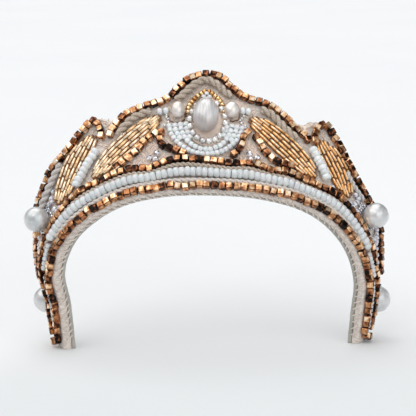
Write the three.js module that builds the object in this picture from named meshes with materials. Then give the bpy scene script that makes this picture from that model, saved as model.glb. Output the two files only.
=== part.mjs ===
// A kokoshnik headdress: a padded felt band in an arch, with a pointed crest over the forehead,
// two ears beside it and two legs that end behind the wearer's ears. Rows of copper cube beads,
// twisted cord, bugle bead leaves and pearls are sewn on its face, and leather lines its back.
// Units are millimetres and degrees, +X is the right of the face and +Z is up.
import * as THREE from "three";

// Driving sizes of the band
const archHalfWidth = 71.5; // lower edge, centre to its widest
const archHeight = 76.5; // lower edge at the centre, above the feet
const crestHeight = 62; // up the face, lower edge to the row on the crest's peak
const halfLength = 126; // of the lower edge, from its centre: a place along it is a share of this
const bandLean = 6.5; // the plane of the lower edge leans to the front by this
const bandTilt = 2.4; // it stands turned by this to its right, because its left leg is longer
const footLevel = -0.4; // the feet are cut off flat at this height
const feltWall = 3.6;
const leatherWall = 1.8;
const clearance = 0.3; // between any two pieces
const edgeMargin = 0.3; // felt that shows outside a row at the edge

// Driving sizes of what is sewn on
const cubeBead = 3.1;
const archBead = 4.3;
const panelBead = 4.1;
const seedBead = 2.2;
const bugleBead = 2.0;
const cordWidth = 3.6;
const narrowCord = 2.4; // beside the right ear's row, where the leaf leaves less room
const roundBead = { width: 2.1, height: 2.9, depth: 2.9 };
const crystalBead = 2.3;
const ringBead = 1.4;
const centrePearl = { width: 12.2, height: 17.4, depth: 11 };
const buttonPearl = { width: 7, height: 8, depth: 6.6 };
const sidePearl = 11.8;
const backPearl = 12.6; // the lower side pearl
const bezelWidth = 2.1; // beside the centre pearl
const bezelFoot = 3.7; // below the centre pearl
const bezelPoint = 9.2; // above the centre pearl
const bezelHeight = 2; // off the felt
const scallopDepth = 18.3; // below the centre pearl's middle
const scallopRows = 4;
const buttonRise = 4.6; // the small pearls, above the centre pearl's middle
const roundRise = 5.6; // the round beads beyond them, the same way
const backPearlLift = 2.6; // the lower side pearl's middle, off the felt's face

// The lower edge and the face over it, from the centre to a foot. The face rises from the edge
// at the flare angle. It bulges most half way up its reach, and lies straight beyond it. reach and
// bulge are shares of the crest's height. left and right place the edge on each side, as a share
// across of the arch's half width and a share up of its height.
const sections = [
  { flare: 44, reach: 0.95, bulge: 0, left: [0, 1], right: [0, 1] },
  { flare: 43, reach: 0.73, bulge: 0, left: [0.287, 0.987], right: [0.301, 0.984] },
  { flare: 41, reach: 0.6, bulge: 0.006, left: [0.559, 0.928], right: [0.58, 0.922] },
  { flare: 37, reach: 0.53, bulge: 0.013, left: [0.769, 0.817], right: [0.783, 0.81] },
  { flare: 31, reach: 0.45, bulge: 0.023, left: [0.923, 0.667], right: [0.93, 0.641] },
  { flare: 25, reach: 0.355, bulge: 0.032, left: [1, 0.458], right: [1, 0.431] },
  { flare: 20, reach: 0.29, bulge: 0.032, left: [0.965, 0.229], right: [0.993, 0.216] },
  { flare: 17, reach: 0.26, bulge: 0.026, left: [0.942, -0.042], right: [0.987, 0.034] },
];

// Places on the face are shares: along is 0 at the centre, near -1 at the left foot and near 1 at
// the right foot, and up is a share of the crest's height.
const middlePath = [
  { along: -0.982, up: 0.12 },
  { along: -0.84, up: 0.12 },
  { along: -0.75, up: 0.125 },
  { along: -0.7, up: 0.147 },
  { along: -0.63, up: 0.187 },
  { along: -0.55, up: 0.2 },
  { along: -0.47, up: 0.224 },
  { along: -0.38, up: 0.216 },
  { along: -0.27, up: 0.224 },
  { along: -0.21, up: 0.208 },
  { along: -0.12, up: 0.25 },
  { along: -0.02, up: 0.237 },
  { along: 0.07, up: 0.22 },
  { along: 0.12, up: 0.233 },
  { along: 0.2, up: 0.208 },
  { along: 0.26, up: 0.21 },
  { along: 0.33, up: 0.186 },
  { along: 0.46, up: 0.198 },
  { along: 0.55, up: 0.165 },
  { along: 0.62, up: 0.145 },
  { along: 0.7, up: 0.123 },
  { along: 0.84, up: 0.12 },
  { along: 0.936, up: 0.12 },
];
const crestPath = [
  { along: -0.318, up: 0.562 },
  { along: -0.31, up: 0.608 },
  { along: -0.285, up: 0.668 },
  { along: -0.26, up: 0.715 },
  { along: -0.2, up: 0.754 },
  { along: -0.155, up: 0.768 },
  { along: -0.133, up: 0.81 },
  { along: -0.11, up: 0.87 },
  { along: -0.08, up: 0.945 },
  { along: -0.027, up: 1 },
  { along: 0.026, up: 0.952 },
  { along: 0.07, up: 0.858 },
  { along: 0.12, up: 0.796 },
  { along: 0.16, up: 0.765 },
  { along: 0.2, up: 0.73 },
  { along: 0.232, up: 0.665 },
  { along: 0.265, up: 0.6 },
  { along: 0.295, up: 0.565 },
  { along: 0.306, up: 0.522 },
];
const earPathLeft = [
  { along: -0.335, up: 0.63 },
  { along: -0.338, up: 0.7 },
  { along: -0.352, up: 0.77 },
  { along: -0.375, up: 0.735 },
  { along: -0.42, up: 0.672 },
  { along: -0.5, up: 0.62 },
  { along: -0.555, up: 0.55 },
  { along: -0.6, up: 0.5 },
  { along: -0.65, up: 0.42 },
  { along: -0.69, up: 0.33 },
  { along: -0.72, up: 0.25 },
  { along: -0.745, up: 0.2 },
  { along: -0.765, up: 0.184 },
];
const earPathRight = [
  { along: 0.316, up: 0.6 },
  { along: 0.32, up: 0.68 },
  { along: 0.338, up: 0.735 },
  { along: 0.366, up: 0.67 },
  { along: 0.4, up: 0.592 },
  { along: 0.44, up: 0.51 },
  { along: 0.48, up: 0.435 },
  { along: 0.53, up: 0.415 },
  { along: 0.6, up: 0.395 },
  { along: 0.64, up: 0.33 },
  { along: 0.675, up: 0.25 },
  { along: 0.71, up: 0.198 },
  { along: 0.735, up: 0.184 },
];
const cornerPathLeft = [
  { along: -0.162, up: 0.53 },
  { along: -0.167, up: 0.4 },
  { along: -0.118, up: 0.33 },
];
const cornerPathRight = [
  { along: 0.127, up: 0.52 },
  { along: 0.108, up: 0.47 },
  { along: 0.1, up: 0.37 },
  { along: 0.077, up: 0.3 },
];
const fanPathLeft = [
  { along: -0.19, up: 0.484 },
  { along: -0.224, up: 0.427 },
  { along: -0.25, up: 0.36 },
  { along: -0.295, up: 0.303 },
];
const fanPathRight = [
  { along: 0.148, up: 0.44 },
  { along: 0.178, up: 0.35 },
  { along: 0.215, up: 0.3 },
  { along: 0.245, up: 0.278 },
];
const panelPathLeft = [
  { along: -0.358, up: 0.485 },
  { along: -0.455, up: 0.285 },
];
const panelPathRight = [
  { along: 0.317, up: 0.478 },
  { along: 0.385, up: 0.27 },
];

// A leaf of bugle beads: its two ends, and the point that each side bulges to half way
const leaves = {
  inner_fan_left: {
    tip: [-0.162, 0.655], low: [-0.396, 0.265], upper: [-0.3, 0.512], lower: [-0.258, 0.408], rows: 6,
  },
  inner_fan_right: {
    tip: [0.119, 0.636], low: [0.348, 0.236], upper: [0.261, 0.499], lower: [0.212, 0.385], rows: 6,
  },
  outer_fan_left: {
    tip: [-0.352, 0.66], low: [-0.522, 0.275], upper: [-0.466, 0.521], lower: [-0.412, 0.421], rows: 5,
  },
  outer_fan_right: {
    tip: [0.329, 0.6], low: [0.457, 0.25], upper: [0.418, 0.459], lower: [0.37, 0.39], rows: 5,
  },
};

// Where the larger pieces sit
const medallionPlace = { along: -0.024, up: 0.59 };
const upperPearlLeft = { along: -0.602, up: 0.31 };
const upperPearlRight = { along: 0.56, up: 0.283 };
const lowerPearlLeft = -0.863;
const lowerPearlRight = 0.833;

// Finishes
const finishes = {
  felt: { color: 0xcdbfae, roughness: 0.95, metalness: 0 },
  leather: { color: 0xb9b5a8, roughness: 0.6, metalness: 0 },
  copper: { color: 0xb9703a, roughness: 0.25, metalness: 1 },
  gold: { color: 0xd9a24e, roughness: 0.2, metalness: 0.8 },
  white: { color: 0xe8eef3, roughness: 0.25, metalness: 0 },
  silver: { color: 0xc9cdd2, roughness: 0.2, metalness: 0.9 },
  pearl: { color: 0xe9e4e2, roughness: 0.2, metalness: 0.1 },
  cord: { color: 0xc2b6a6, roughness: 0.7, metalness: 0 },
};

const headdress = new THREE.Group();

function sew(name, geometry, finish) {
  const mesh = new THREE.Mesh(geometry, new THREE.MeshStandardMaterial(finishes[finish]));
  mesh.name = name;
  headdress.add(mesh);
}

// The band's face
const leftSections = sections.slice(1).reverse();
const rim = new THREE.SplineCurve([
  ...leftSections.map(({ left }) => new THREE.Vector2(-left[0] * archHalfWidth, left[1] * archHeight)),
  ...sections.map(({ right }) => new THREE.Vector2(right[0] * archHalfWidth, right[1] * archHeight)),
]);
rim.arcLengthDivisions = 560;
const slope = new THREE.SplineCurve(
  [...leftSections, ...sections].map((s) => new THREE.Vector2(s.flare, s.reach * crestHeight)),
);
const swell = new THREE.SplineCurve(
  [...leftSections, ...sections].map((s) => new THREE.Vector2(s.bulge * crestHeight, 0)),
);
const rimLengths = rim.getLengths();
const rimLength = rimLengths.at(-1);
const leftLength = rimLengths[rim.arcLengthDivisions / 2];
const footLeft = -leftLength / halfLength;
const footRight = (rimLength - leftLength) / halfLength;
const lean = THREE.MathUtils.degToRad(bandLean);
const tilt = THREE.MathUtils.degToRad(bandTilt);

// Turns a vector in the plane of the lower edge, with its depth behind that plane, to the part's axes
function lean3(across, height, depth) {
  const rise = height * Math.cos(lean) + depth * Math.sin(lean);
  return new THREE.Vector3(
    across * Math.cos(tilt) + rise * Math.sin(tilt),
    depth * Math.cos(lean) - height * Math.sin(lean),
    rise * Math.cos(tilt) - across * Math.sin(tilt),
  );
}

// The face at a place: along is a share, up and lift are lengths up the face and off it
function faceAt(along, up, lift) {
  const length = leftLength + along * halfLength;
  const t = rim.getUtoTmapping(THREE.MathUtils.clamp(length / rimLength, 0, 1));
  const edge = rim.getPoint(t);
  const run = rim.getTangent(t);
  const flare = THREE.MathUtils.degToRad(slope.getPoint(t).x);
  const share = THREE.MathUtils.clamp(up / slope.getPoint(t).y, 0, 1);
  const fullness = share < 0.5 ? 4 * share * (1 - share) : Math.sin(Math.PI * share) ** 2;
  const off = lift + swell.getPoint(t).x * fullness;
  const out = Math.sin(flare) * up + Math.cos(flare) * off;
  return {
    point: lean3(edge.x - run.y * out, edge.y + run.x * out, Math.cos(flare) * up - Math.sin(flare) * off),
    run: lean3(run.x, run.y, 0),
    rise: lean3(-run.y * Math.sin(flare), run.x * Math.sin(flare), Math.cos(flare)),
    outward: lean3(-run.y * Math.cos(flare), run.x * Math.cos(flare), -Math.sin(flare)),
  };
}

// How much longer a step along the face is, at a height up it, than the same step on the edge
function stretchAt(along, up) {
  const step = 0.01;
  const ends = [along - step, along + step].map((place) => faceAt(place, up, 0).point);
  return ends[0].distanceTo(ends[1]) / (2 * step * halfLength);
}

// A place that lies a few millimetres from another, along the face and up it
function near(place, right, rise) {
  const up = place.up * crestHeight + rise;
  const along = place.along + right / (halfLength * stretchAt(place.along, up));
  return { along, up: up / crestHeight };
}

// Moves every vertex of a geometry by a function of its own x, y and z
function reshape(geometry, place) {
  const position = geometry.attributes.position;
  for (let i = 0; i < position.count; i += 1) {
    const p = place(position.getX(i), position.getY(i), position.getZ(i));
    position.setXYZ(i, p.x, p.y, p.z);
  }
  geometry.computeVertexNormals();
  return geometry;
}

// The height of a path at a place along it, level before its start and past its end
function heightOn(path, along) {
  const next = path.findIndex((p) => p.along > along);
  if (next < 1) return path.at(next).up * crestHeight;
  const a = path[next - 1];
  const b = path[next];
  const share = (along - a.along) / (b.along - a.along);
  return THREE.MathUtils.lerp(a.up, b.up, share) * crestHeight;
}

// The felt's outline follows the rows at its edge and fills most of the two notches
const edgeRoom = (cubeBead / 2 + edgeMargin) / crestHeight;
const earRoom = 0.008; // the same, along the edge
const legTop = middlePath[0].up + edgeRoom;
function outsideRow(path, shift) {
  return path.map(({ along, up }) => ({ along: along + shift, up: up + edgeRoom }));
}
const outline = [
  { along: footLeft, up: legTop },
  { along: -0.79, up: legTop },
  ...outsideRow(earPathLeft.slice(2).reverse(), -earRoom),
  { along: -0.322, up: 0.765 },
  { along: -0.303, up: 0.72 },
  ...outsideRow(crestPath.slice(3, 16), 0),
  { along: 0.285, up: 0.685 },
  { along: 0.305, up: 0.735 },
  ...outsideRow(earPathRight.slice(2), earRoom),
  { along: 0.765, up: legTop },
  { along: footRight, up: legTop },
];

// A wall is a block bent over the face. Each stretch of the outline is cut into equal columns, and
// the two feet are cut off flat where they stand. Two walls that lie together turn opposite ways,
// so that the faces that meet are split along the same diagonals.
function wall(name, inner, outer, way, finish) {
  const columnStep = 4.2;
  const rows = 5;
  const stops = [outline[0].along];
  for (let i = 1; i < outline.length; i += 1) {
    const from = outline[i - 1].along;
    const width = outline[i].along - from;
    const count = Math.max(1, Math.round((width * halfLength) / columnStep));
    for (let k = 1; k <= count; k += 1) stops.push(from + (width * k) / count);
  }
  const block = new THREE.BoxGeometry(stops.length - 1, 1, 1, stops.length - 1, rows, 1);
  reshape(block, (x, y, z) => {
    const along = stops[Math.round(way * x + (stops.length - 1) / 2)];
    const face = faceAt(along, (y + 0.5) * heightOn(outline, along), z < 0 ? inner : outer);
    if (along > footLeft && along < footRight) return face.point;
    return face.point.addScaledVector(face.run, (footLevel - face.point.z) / face.run.z);
  });
  if (way < 0) block.index.array.reverse();
  sew(name, block, finish);
}

// A path as a smooth curve in the flat, in lengths along the edge and up the face
function flatCurve(path) {
  return new THREE.CatmullRomCurve3(
    path.map(({ along, up }) => new THREE.Vector3(along * halfLength, up * crestHeight, 0)),
    false,
    "centripetal",
  );
}

// A string of beads or a cord, as a tube laid on the face
function string(name, path, width, finish, stepLength = 2 * width) {
  const flat = flatCurve(path);
  const steps = Math.max(3, Math.round(flat.getLength() / stepLength));
  const seat = clearance + width / 2;
  const points = flat.getSpacedPoints(steps).map((p) => faceAt(p.x / halfLength, p.y, seat).point);
  const sides = 8;
  const ring = Array.from({ length: sides }, (_, k) => {
    const angle = (2 * Math.PI * k) / sides;
    return new THREE.Vector2(Math.cos(angle), Math.sin(angle)).multiplyScalar(width / 2);
  });
  sew(name, new THREE.ExtrudeGeometry(new THREE.Shape(ring), {
    steps,
    bevelEnabled: false,
    extrudePath: new THREE.CatmullRomCurve3(points),
  }), finish);
}

// The stretch of a path between two places along, moved square to itself by a length, to its left
function besidePath(path, shift, from, to) {
  const flat = flatCurve(path);
  const samples = 36;
  const moved = [];
  for (let k = 0; k <= samples; k += 1) {
    const p = flat.getPointAt(k / samples);
    const t = flat.getTangentAt(k / samples);
    if (p.x < from * halfLength || p.x > to * halfLength) continue;
    moved.push({ along: (p.x - t.y * shift) / halfLength, up: (p.y + t.x * shift) / crestHeight });
  }
  return moved;
}

// A round piece that sits on the face. Its middle may be pushed off a seat by a lift.
function bead(name, place, size, finish, lift = clearance + size.depth / 2, sides = 12) {
  const ball = new THREE.SphereGeometry(0.5, sides, sides / 2 + 1);
  ball.scale(size.width, size.height, size.depth);
  const face = faceAt(place.along, place.up * crestHeight, lift);
  const turn = new THREE.Matrix4().makeBasis(face.run, face.rise, face.outward);
  ball.applyMatrix4(turn.setPosition(face.point));
  sew(name, ball, finish);
}

function ball(diameter) {
  return { width: diameter, height: diameter, depth: diameter };
}

// Felt and leather
wall("felt_shell", -feltWall, 0, 1, "felt");
wall("leather_lining", -feltWall - clearance - leatherWall, -feltWall - clearance, -1, "leather");

// Copper rows. The lower one turns up round each foot.
const lowerUp = (cubeBead / 2 + edgeMargin / 2) / crestHeight;
const turnRoom = (cubeBead / 2 + 3 * clearance) / halfLength;
const turnLeft = footLeft + turnRoom;
const turnRight = footRight - turnRoom;
const lowerPath = [{ along: turnLeft, up: middlePath[0].up }, { along: turnLeft + 0.002, up: 0.07 }];
const lowerMarks = 32;
for (let mark = 0; mark <= lowerMarks; mark += 1) {
  const along = THREE.MathUtils.lerp(turnLeft + 0.02, turnRight - 0.02, mark / lowerMarks);
  lowerPath.push({ along, up: lowerUp });
}
lowerPath.push({ along: turnRight - 0.002, up: 0.07 }, { along: turnRight, up: middlePath[0].up });
string("lower_row", lowerPath, cubeBead, "copper");
string("middle_row", middlePath, cubeBead, "copper");
const notchStep = cubeBead;
string("crest_row", crestPath, cubeBead, "copper", notchStep);
string("ear_row_left", earPathLeft, cubeBead, "copper", notchStep);
string("ear_row_right", earPathRight, cubeBead, "copper", notchStep);
string("corner_row_left", cornerPathLeft, cubeBead, "copper");
string("corner_row_right", cornerPathRight, cubeBead, "copper");
string("fan_row_left", fanPathLeft, cubeBead, "copper");
string("fan_row_right", fanPathRight, cubeBead, "copper");

// White rows
const archPath = [];
for (let along = -0.62; along < 0.62; along += 0.04) {
  archPath.push({ along, up: (lowerUp + heightOn(middlePath, along) / crestHeight) / 2 });
}
string("arch_row", archPath, archBead, "white");
string("panel_row_left", panelPathLeft, panelBead, "white");
string("panel_row_right", panelPathRight, panelBead, "white");

// Cords, laid beside the outline rows. Each lies to the right of its row's path, or to the left.
const cords = [
  { name: "crest_cord_left", row: crestPath, side: -1, from: -0.3, to: -0.19, width: cordWidth },
  { name: "crest_cord_centre", row: crestPath, side: -1, from: -0.115, to: 0.065, width: cordWidth },
  { name: "crest_cord_right", row: crestPath, side: -1, from: 0.15, to: 0.272, width: cordWidth },
  { name: "ear_cord_left", row: earPathLeft, side: 1, from: -0.62, to: -0.47, width: cordWidth },
  { name: "ear_cord_right", row: earPathRight, side: -1, from: 0.43, to: 0.52, width: narrowCord },
];
for (const { name, row, side, from, to, width } of cords) {
  const shift = (cubeBead + width) / 2 + clearance;
  string(name, besidePath(row, side * shift, from, to), width, "cord", width);
}

// Leaves of bugle beads, a ridge for each row of them. Each side bulges like half an ellipse.
function leaf(name, { tip, low, upper, lower, rows }) {
  const flat = ([along, up]) => new THREE.Vector2(along * halfLength, up * crestHeight);
  const [a, b] = [flat(tip), flat(low)];
  const centre = a.clone().lerp(b, 0.5);
  const bulges = [lower, upper].map((bulge) => flat(bulge).sub(centre));
  const blunt = 0.02; // the leaf stops this share short of each point
  const valley = 0.55;
  const block = new THREE.BoxGeometry(1, 2 * rows, 1, 8, 2 * rows, 1);
  reshape(block, (x, y, z) => {
    const t = blunt + (x + 0.5) * (1 - 2 * blunt);
    const bulge = bulges[0].clone().lerp(bulges[1], y / (2 * rows) + 0.5);
    const spot = a.clone().lerp(b, t).addScaledVector(bulge, 2 * Math.sqrt(t * (1 - t)));
    const height = Math.round(y + rows) % 2 === 0 ? valley * bugleBead : bugleBead;
    return faceAt(spot.x / halfLength, spot.y, clearance + (z < 0 ? 0 : height)).point;
  });
  const turned = low[0] < tip[0];
  if (turned) block.index.array.reverse();
  sew(name, block, "gold");
}
for (const [name, shape] of Object.entries(leaves)) leaf(name, shape);

// The medallion: a bezel with a pointed top round the centre pearl
function onMedallion(x, y, lift) {
  const place = near(medallionPlace, x, y);
  return faceAt(place.along, place.up * crestHeight, lift).point;
}
const bezelSide = centrePearl.width / 2 + bezelWidth;
const bezelBase = centrePearl.height / 2 + bezelFoot;
const bezelTop = centrePearl.height / 2 + bezelPoint;
const shoulder = 0.7 * bezelTop; // the sides lean in to the point from here
const bezelShape = new THREE.Shape();
bezelShape.absellipse(0, 0, bezelSide, bezelBase, Math.PI, 2 * Math.PI, false);
bezelShape.quadraticCurveTo(bezelSide, shoulder, 0, bezelTop);
bezelShape.quadraticCurveTo(-bezelSide, shoulder, -bezelSide, 0);
const pearlSeat = 0.88; // the pearl narrows to this share of its girth where the bezel holds it
const pearlHole = new THREE.Path();
const holeSize = [centrePearl.width, centrePearl.height].map((size) => (size * pearlSeat) / 2);
pearlHole.absellipse(0, 0, ...holeSize, 0, 2 * Math.PI, true);
bezelShape.holes.push(pearlHole);
const bezelBlock = { depth: bezelHeight, bevelEnabled: false, curveSegments: 9 };
const bezel = new THREE.ExtrudeGeometry(bezelShape, bezelBlock);
sew("medallion_bezel", reshape(bezel, (x, y, z) => onMedallion(x, y, clearance + z)), "silver");
bead("centre_pearl", medallionPlace, centrePearl, "pearl");

// Half disc of small white beads, a ridge for each row
const scallopSide = bezelSide + clearance + scallopRows * seedBead;
const scallop = new THREE.BoxGeometry(1, 2 * scallopRows, 1, 14, 2 * scallopRows, 1);
reshape(scallop, (x, y, z) => {
  const angle = Math.PI * (1.5 + x);
  const share = (y + scallopRows) / (2 * scallopRows);
  const side = THREE.MathUtils.lerp(bezelSide + clearance, scallopSide, share);
  const foot = THREE.MathUtils.lerp(bezelBase + clearance, scallopDepth, share);
  const height = Math.round(y + scallopRows) % 2 === 0 ? 0.6 * seedBead : seedBead;
  return onMedallion(Math.cos(angle) * side, Math.sin(angle) * foot, clearance + (z < 0 ? 0 : height));
});
scallop.index.array.reverse();
sew("scallop", scallop, "white");

// A small pearl and two round beads in a line each side of the medallion
const buttonReach = bezelSide + clearance + buttonPearl.width / 2;
const roundReach = buttonReach + clearance + (buttonPearl.width + roundBead.width) / 2;
for (const [side, sign] of [["left", -1], ["right", 1]]) {
  bead(`small_pearl_${side}`, near(medallionPlace, sign * buttonReach, buttonRise), buttonPearl, "pearl");
  for (const count of [1, 2]) {
    const reach = roundReach + (count - 1) * (roundBead.width + clearance);
    const place = near(medallionPlace, sign * reach, roundRise);
    bead(`round_bead_${side}_${count}`, place, roundBead, "white", clearance + roundBead.depth / 2, 10);
  }
}

// Pearls on the legs: the upper one in a ring of tiny beads, the lower one on the band's back edge
function sidePearls(side, upper, lowerAlong) {
  bead(`side_pearl_upper_${side}`, upper, ball(sidePearl), "pearl");
  const seat = faceAt(upper.along, upper.up * crestHeight, 2 * clearance + ringBead / 2);
  const ring = new THREE.TorusGeometry(sidePearl / 2 - ringBead / 2, ringBead / 2, 6, 16);
  const turn = new THREE.Matrix4().makeBasis(seat.run, seat.rise, seat.outward);
  sew(`pearl_ring_${side}`, ring.applyMatrix4(turn.setPosition(seat.point)), "silver");
  const back = heightOn(outline, lowerAlong) + backPearl / 2 + clearance / 2;
  const lower = { along: lowerAlong, up: back / crestHeight };
  bead(`side_pearl_lower_${side}`, lower, ball(backPearl), "pearl", backPearlLift);
}
sidePearls("left", upperPearlLeft, lowerPearlLeft);
sidePearls("right", upperPearlRight, lowerPearlRight);

// Crystals
const crystals = {
  crystal_left_1: { along: -0.208, up: 0.292 },
  crystal_left_2: { along: -0.182, up: 0.322 },
  crystal_right_1: { along: 0.127, up: 0.314 },
  crystal_right_2: { along: 0.154, up: 0.289 },
  crystal_leg_left: { along: -0.552, up: 0.28 },
  crystal_leg_right: { along: 0.495, up: 0.26 },
};
for (const [name, place] of Object.entries(crystals)) {
  bead(name, place, ball(crystalBead), "silver", clearance + crystalBead / 2, 10);
}

// The part stands on its feet, with its origin in the middle of its base
const box = new THREE.Box3().setFromObject(headdress, true);
const middle = box.getCenter(new THREE.Vector3());
headdress.position.set(-middle.x, -middle.y, -box.min.z);

export default headdress;
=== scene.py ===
# %% [markdown]
# # A bead-embroidered kokoshnik headdress
#
# The real piece is a stiff arched band of padded felt, lined with leather. Its face carries rows
# of copper-coated cube beads, leaves of gold tube beads, white glass beads, twisted cord and
# pearls, all sewn on by hand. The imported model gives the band, the rows and the pearls as plain
# solids. This lesson dresses each of them with the pieces that the real one is made of.

# %% Load the frame
import math
import random

import bmesh
import bpy
import numpy as np
from mathutils import Euler, Matrix, Vector, noise


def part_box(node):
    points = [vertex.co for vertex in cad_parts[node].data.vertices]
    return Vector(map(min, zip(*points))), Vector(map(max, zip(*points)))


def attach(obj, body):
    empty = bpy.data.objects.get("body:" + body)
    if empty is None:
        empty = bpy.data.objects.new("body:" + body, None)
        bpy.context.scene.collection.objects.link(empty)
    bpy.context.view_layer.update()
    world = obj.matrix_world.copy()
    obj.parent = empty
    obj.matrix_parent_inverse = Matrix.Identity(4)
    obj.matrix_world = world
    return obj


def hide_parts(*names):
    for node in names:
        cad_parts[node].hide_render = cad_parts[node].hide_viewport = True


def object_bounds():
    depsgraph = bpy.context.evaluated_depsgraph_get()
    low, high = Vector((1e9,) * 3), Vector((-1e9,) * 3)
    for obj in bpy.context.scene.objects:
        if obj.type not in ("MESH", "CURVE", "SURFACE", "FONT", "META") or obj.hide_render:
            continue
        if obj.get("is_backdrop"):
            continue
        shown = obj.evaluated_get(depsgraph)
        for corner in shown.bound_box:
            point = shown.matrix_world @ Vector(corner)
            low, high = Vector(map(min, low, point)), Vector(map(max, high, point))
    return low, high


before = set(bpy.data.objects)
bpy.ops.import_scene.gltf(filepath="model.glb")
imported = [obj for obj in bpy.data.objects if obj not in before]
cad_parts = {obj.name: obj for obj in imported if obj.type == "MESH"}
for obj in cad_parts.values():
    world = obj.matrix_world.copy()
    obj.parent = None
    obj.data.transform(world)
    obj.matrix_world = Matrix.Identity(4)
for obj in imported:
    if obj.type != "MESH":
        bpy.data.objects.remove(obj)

MM = 0.001
cad_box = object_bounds()
chance = random.Random(11)
print("nodes to dress:", len(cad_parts))

# %% [markdown]
# ## The face of the band
#
# Everything is sewn on one curved face, so the first thing to make is a way of finding a place on
# it. The face rises from the arch of the lower edge, and leans out at an angle that changes along
# the band. `along` is 0 at the centre, near -1 at the left foot and near 1 at the right foot. `up`
# is a length up the face and `lift` a length off it, in millimetres. A Curve modifier could bend a
# flat piece to the arch, but not lean it out as well. Here a piece is cut out flat, as felt is, and
# bent by moving each of its vertices with one function.

# %% Sizes of the band, in millimetres and degrees
ARCH_HALF_WIDTH = 71.5
ARCH_HEIGHT = 76.5
CREST_HEIGHT = 62.0
HALF = 126.0
BAND_LEAN = math.radians(6.5)
BAND_TILT = math.radians(2.4)
FELT_WALL = 3.6
LEATHER_WALL = 1.8
CLEARANCE = 0.3
CUBE = 3.1
SIDE_PEARL = 11.8
BACK_PEARL = 12.6
CENTRE_PEARL = (12.2, 17.4, 11.0)
SMALL_PEARL = (7.0, 8.0, 6.6)
MEDALLION = (-0.024, 0.59)

# flare, reach, bulge, then the edge's place on the left and on the right, from the centre to a foot
SECTIONS = [
    (44, 0.95, 0, (0, 1), (0, 1)),
    (43, 0.73, 0, (0.287, 0.987), (0.301, 0.984)),
    (41, 0.6, 0.006, (0.559, 0.928), (0.58, 0.922)),
    (37, 0.53, 0.013, (0.769, 0.817), (0.783, 0.81)),
    (31, 0.45, 0.023, (0.923, 0.667), (0.93, 0.641)),
    (25, 0.355, 0.032, (1, 0.458), (1, 0.431)),
    (20, 0.29, 0.032, (0.965, 0.229), (0.993, 0.216)),
    (17, 0.26, 0.026, (0.942, -0.042), (0.987, 0.034)),
]


# %% A smooth line through rows of numbers
def smooth_row(rows, t):
    """The row at t, from 0 to 1, on a smooth line through all the rows."""
    last = len(rows) - 1
    k = min(int(t * last), last - 1)
    before, a, b, after = rows[max(k - 1, 0)], rows[k], rows[k + 1], rows[min(k + 2, last)]
    return bent_between(a, b, (b - before) / 2, (after - a) / 2, t * last - k)


def bent_between(a, b, start, end, w):
    """The point at w, from 0 to 1, of a cubic from a to b that sets out and arrives as given."""
    bend = (2 * a - 2 * b + start + end) * w**3 + (3 * b - 3 * a - 2 * start - end) * w**2
    return bend + start * w + a


def edge_rows():
    """The sections from the left foot to the right foot, with lengths in millimetres."""
    rows = []
    for side, sign, sections in ((0, -1, SECTIONS[:0:-1]), (1, 1, SECTIONS)):
        for flare, reach, bulge, *places in sections:
            across, up = places[side]
            rows.append(np.array([
                sign * across * ARCH_HALF_WIDTH, up * ARCH_HEIGHT,
                math.radians(flare), reach * CREST_HEIGHT, bulge * CREST_HEIGHT,
            ]))
    return rows


# %% A table of stations along the edge
STATIONS = 1200
HALF_MARKS = 280


def lengths_on(points):
    """How far along a line of points each of them lies."""
    return np.concatenate([[0], np.cumsum(np.linalg.norm(np.diff(points, axis=0), axis=1))])


def make_stations():
    """Edge place, direction, flare, reach and bulge at even steps along, and the two feet's places."""
    rows = edge_rows()
    marks = np.linspace(0, 1, 2 * HALF_MARKS + 1)
    lengths = lengths_on(np.array([smooth_row(rows, t)[:2] for t in marks]))
    centre = lengths[HALF_MARKS]
    feet = (-centre / HALF, (lengths[-1] - centre) / HALF)
    found = []
    for along in np.linspace(*feet, STATIONS + 1):
        t = float(np.interp(centre + along * HALF, lengths, marks))
        ahead = smooth_row(rows, min(t + 1e-4, 1))[:2] - smooth_row(rows, max(t - 1e-4, 0))[:2]
        x, y, flare, reach, bulge = smooth_row(rows, t)
        found.append([x, y, *(ahead / np.linalg.norm(ahead)), flare, reach, bulge])
    return np.array(found), feet


stations, (FOOT_LEFT, FOOT_RIGHT) = make_stations()
print(f"the feet are at {FOOT_LEFT:.3f} and {FOOT_RIGHT:.3f} along")


# %% From a place on the face to a point in the frame
TILT = Matrix.Rotation(BAND_TILT, 3, "Y")


def leaned(across, height, depth):
    """The plane of the lower edge leans to the front, and the band stands tilted on its two legs."""
    c, s = math.cos(BAND_LEAN), math.sin(BAND_LEAN)
    return TILT @ Vector((across, depth * c - height * s, height * c + depth * s))


def face_raw(along, up, lift):
    """The point in millimetres, and the directions along the row, up the face and off it."""
    spot = (min(max(along, FOOT_LEFT), FOOT_RIGHT) - FOOT_LEFT) / (FOOT_RIGHT - FOOT_LEFT) * STATIONS
    k = min(int(spot), STATIONS - 1)
    x, y, run_x, run_y, flare, reach, bulge = stations[k] + (stations[k + 1] - stations[k]) * (spot - k)
    share = min(max(up / reach, 0), 1)
    fullness = 4 * share * (1 - share) if share < 0.5 else math.sin(math.pi * share) ** 2
    off = lift + bulge * fullness
    c, s = math.cos(flare), math.sin(flare)
    out = s * up + c * off
    point = leaned(x - run_y * out, y + run_x * out, c * up - s * off)
    run = leaned(run_x, run_y, 0)
    rise = leaned(-run_y * s, run_x * s, c)
    outward = leaned(-run_y * c, run_x * c, -s)
    return point, run, rise, outward


pearl_low, pearl_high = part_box("centre_pearl")
pearl_raw = face_raw(MEDALLION[0], MEDALLION[1] * CREST_HEIGHT, CLEARANCE + CENTRE_PEARL[2] / 2)[0]
HOME = (pearl_low + pearl_high) / 2 - pearl_raw * MM


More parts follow.
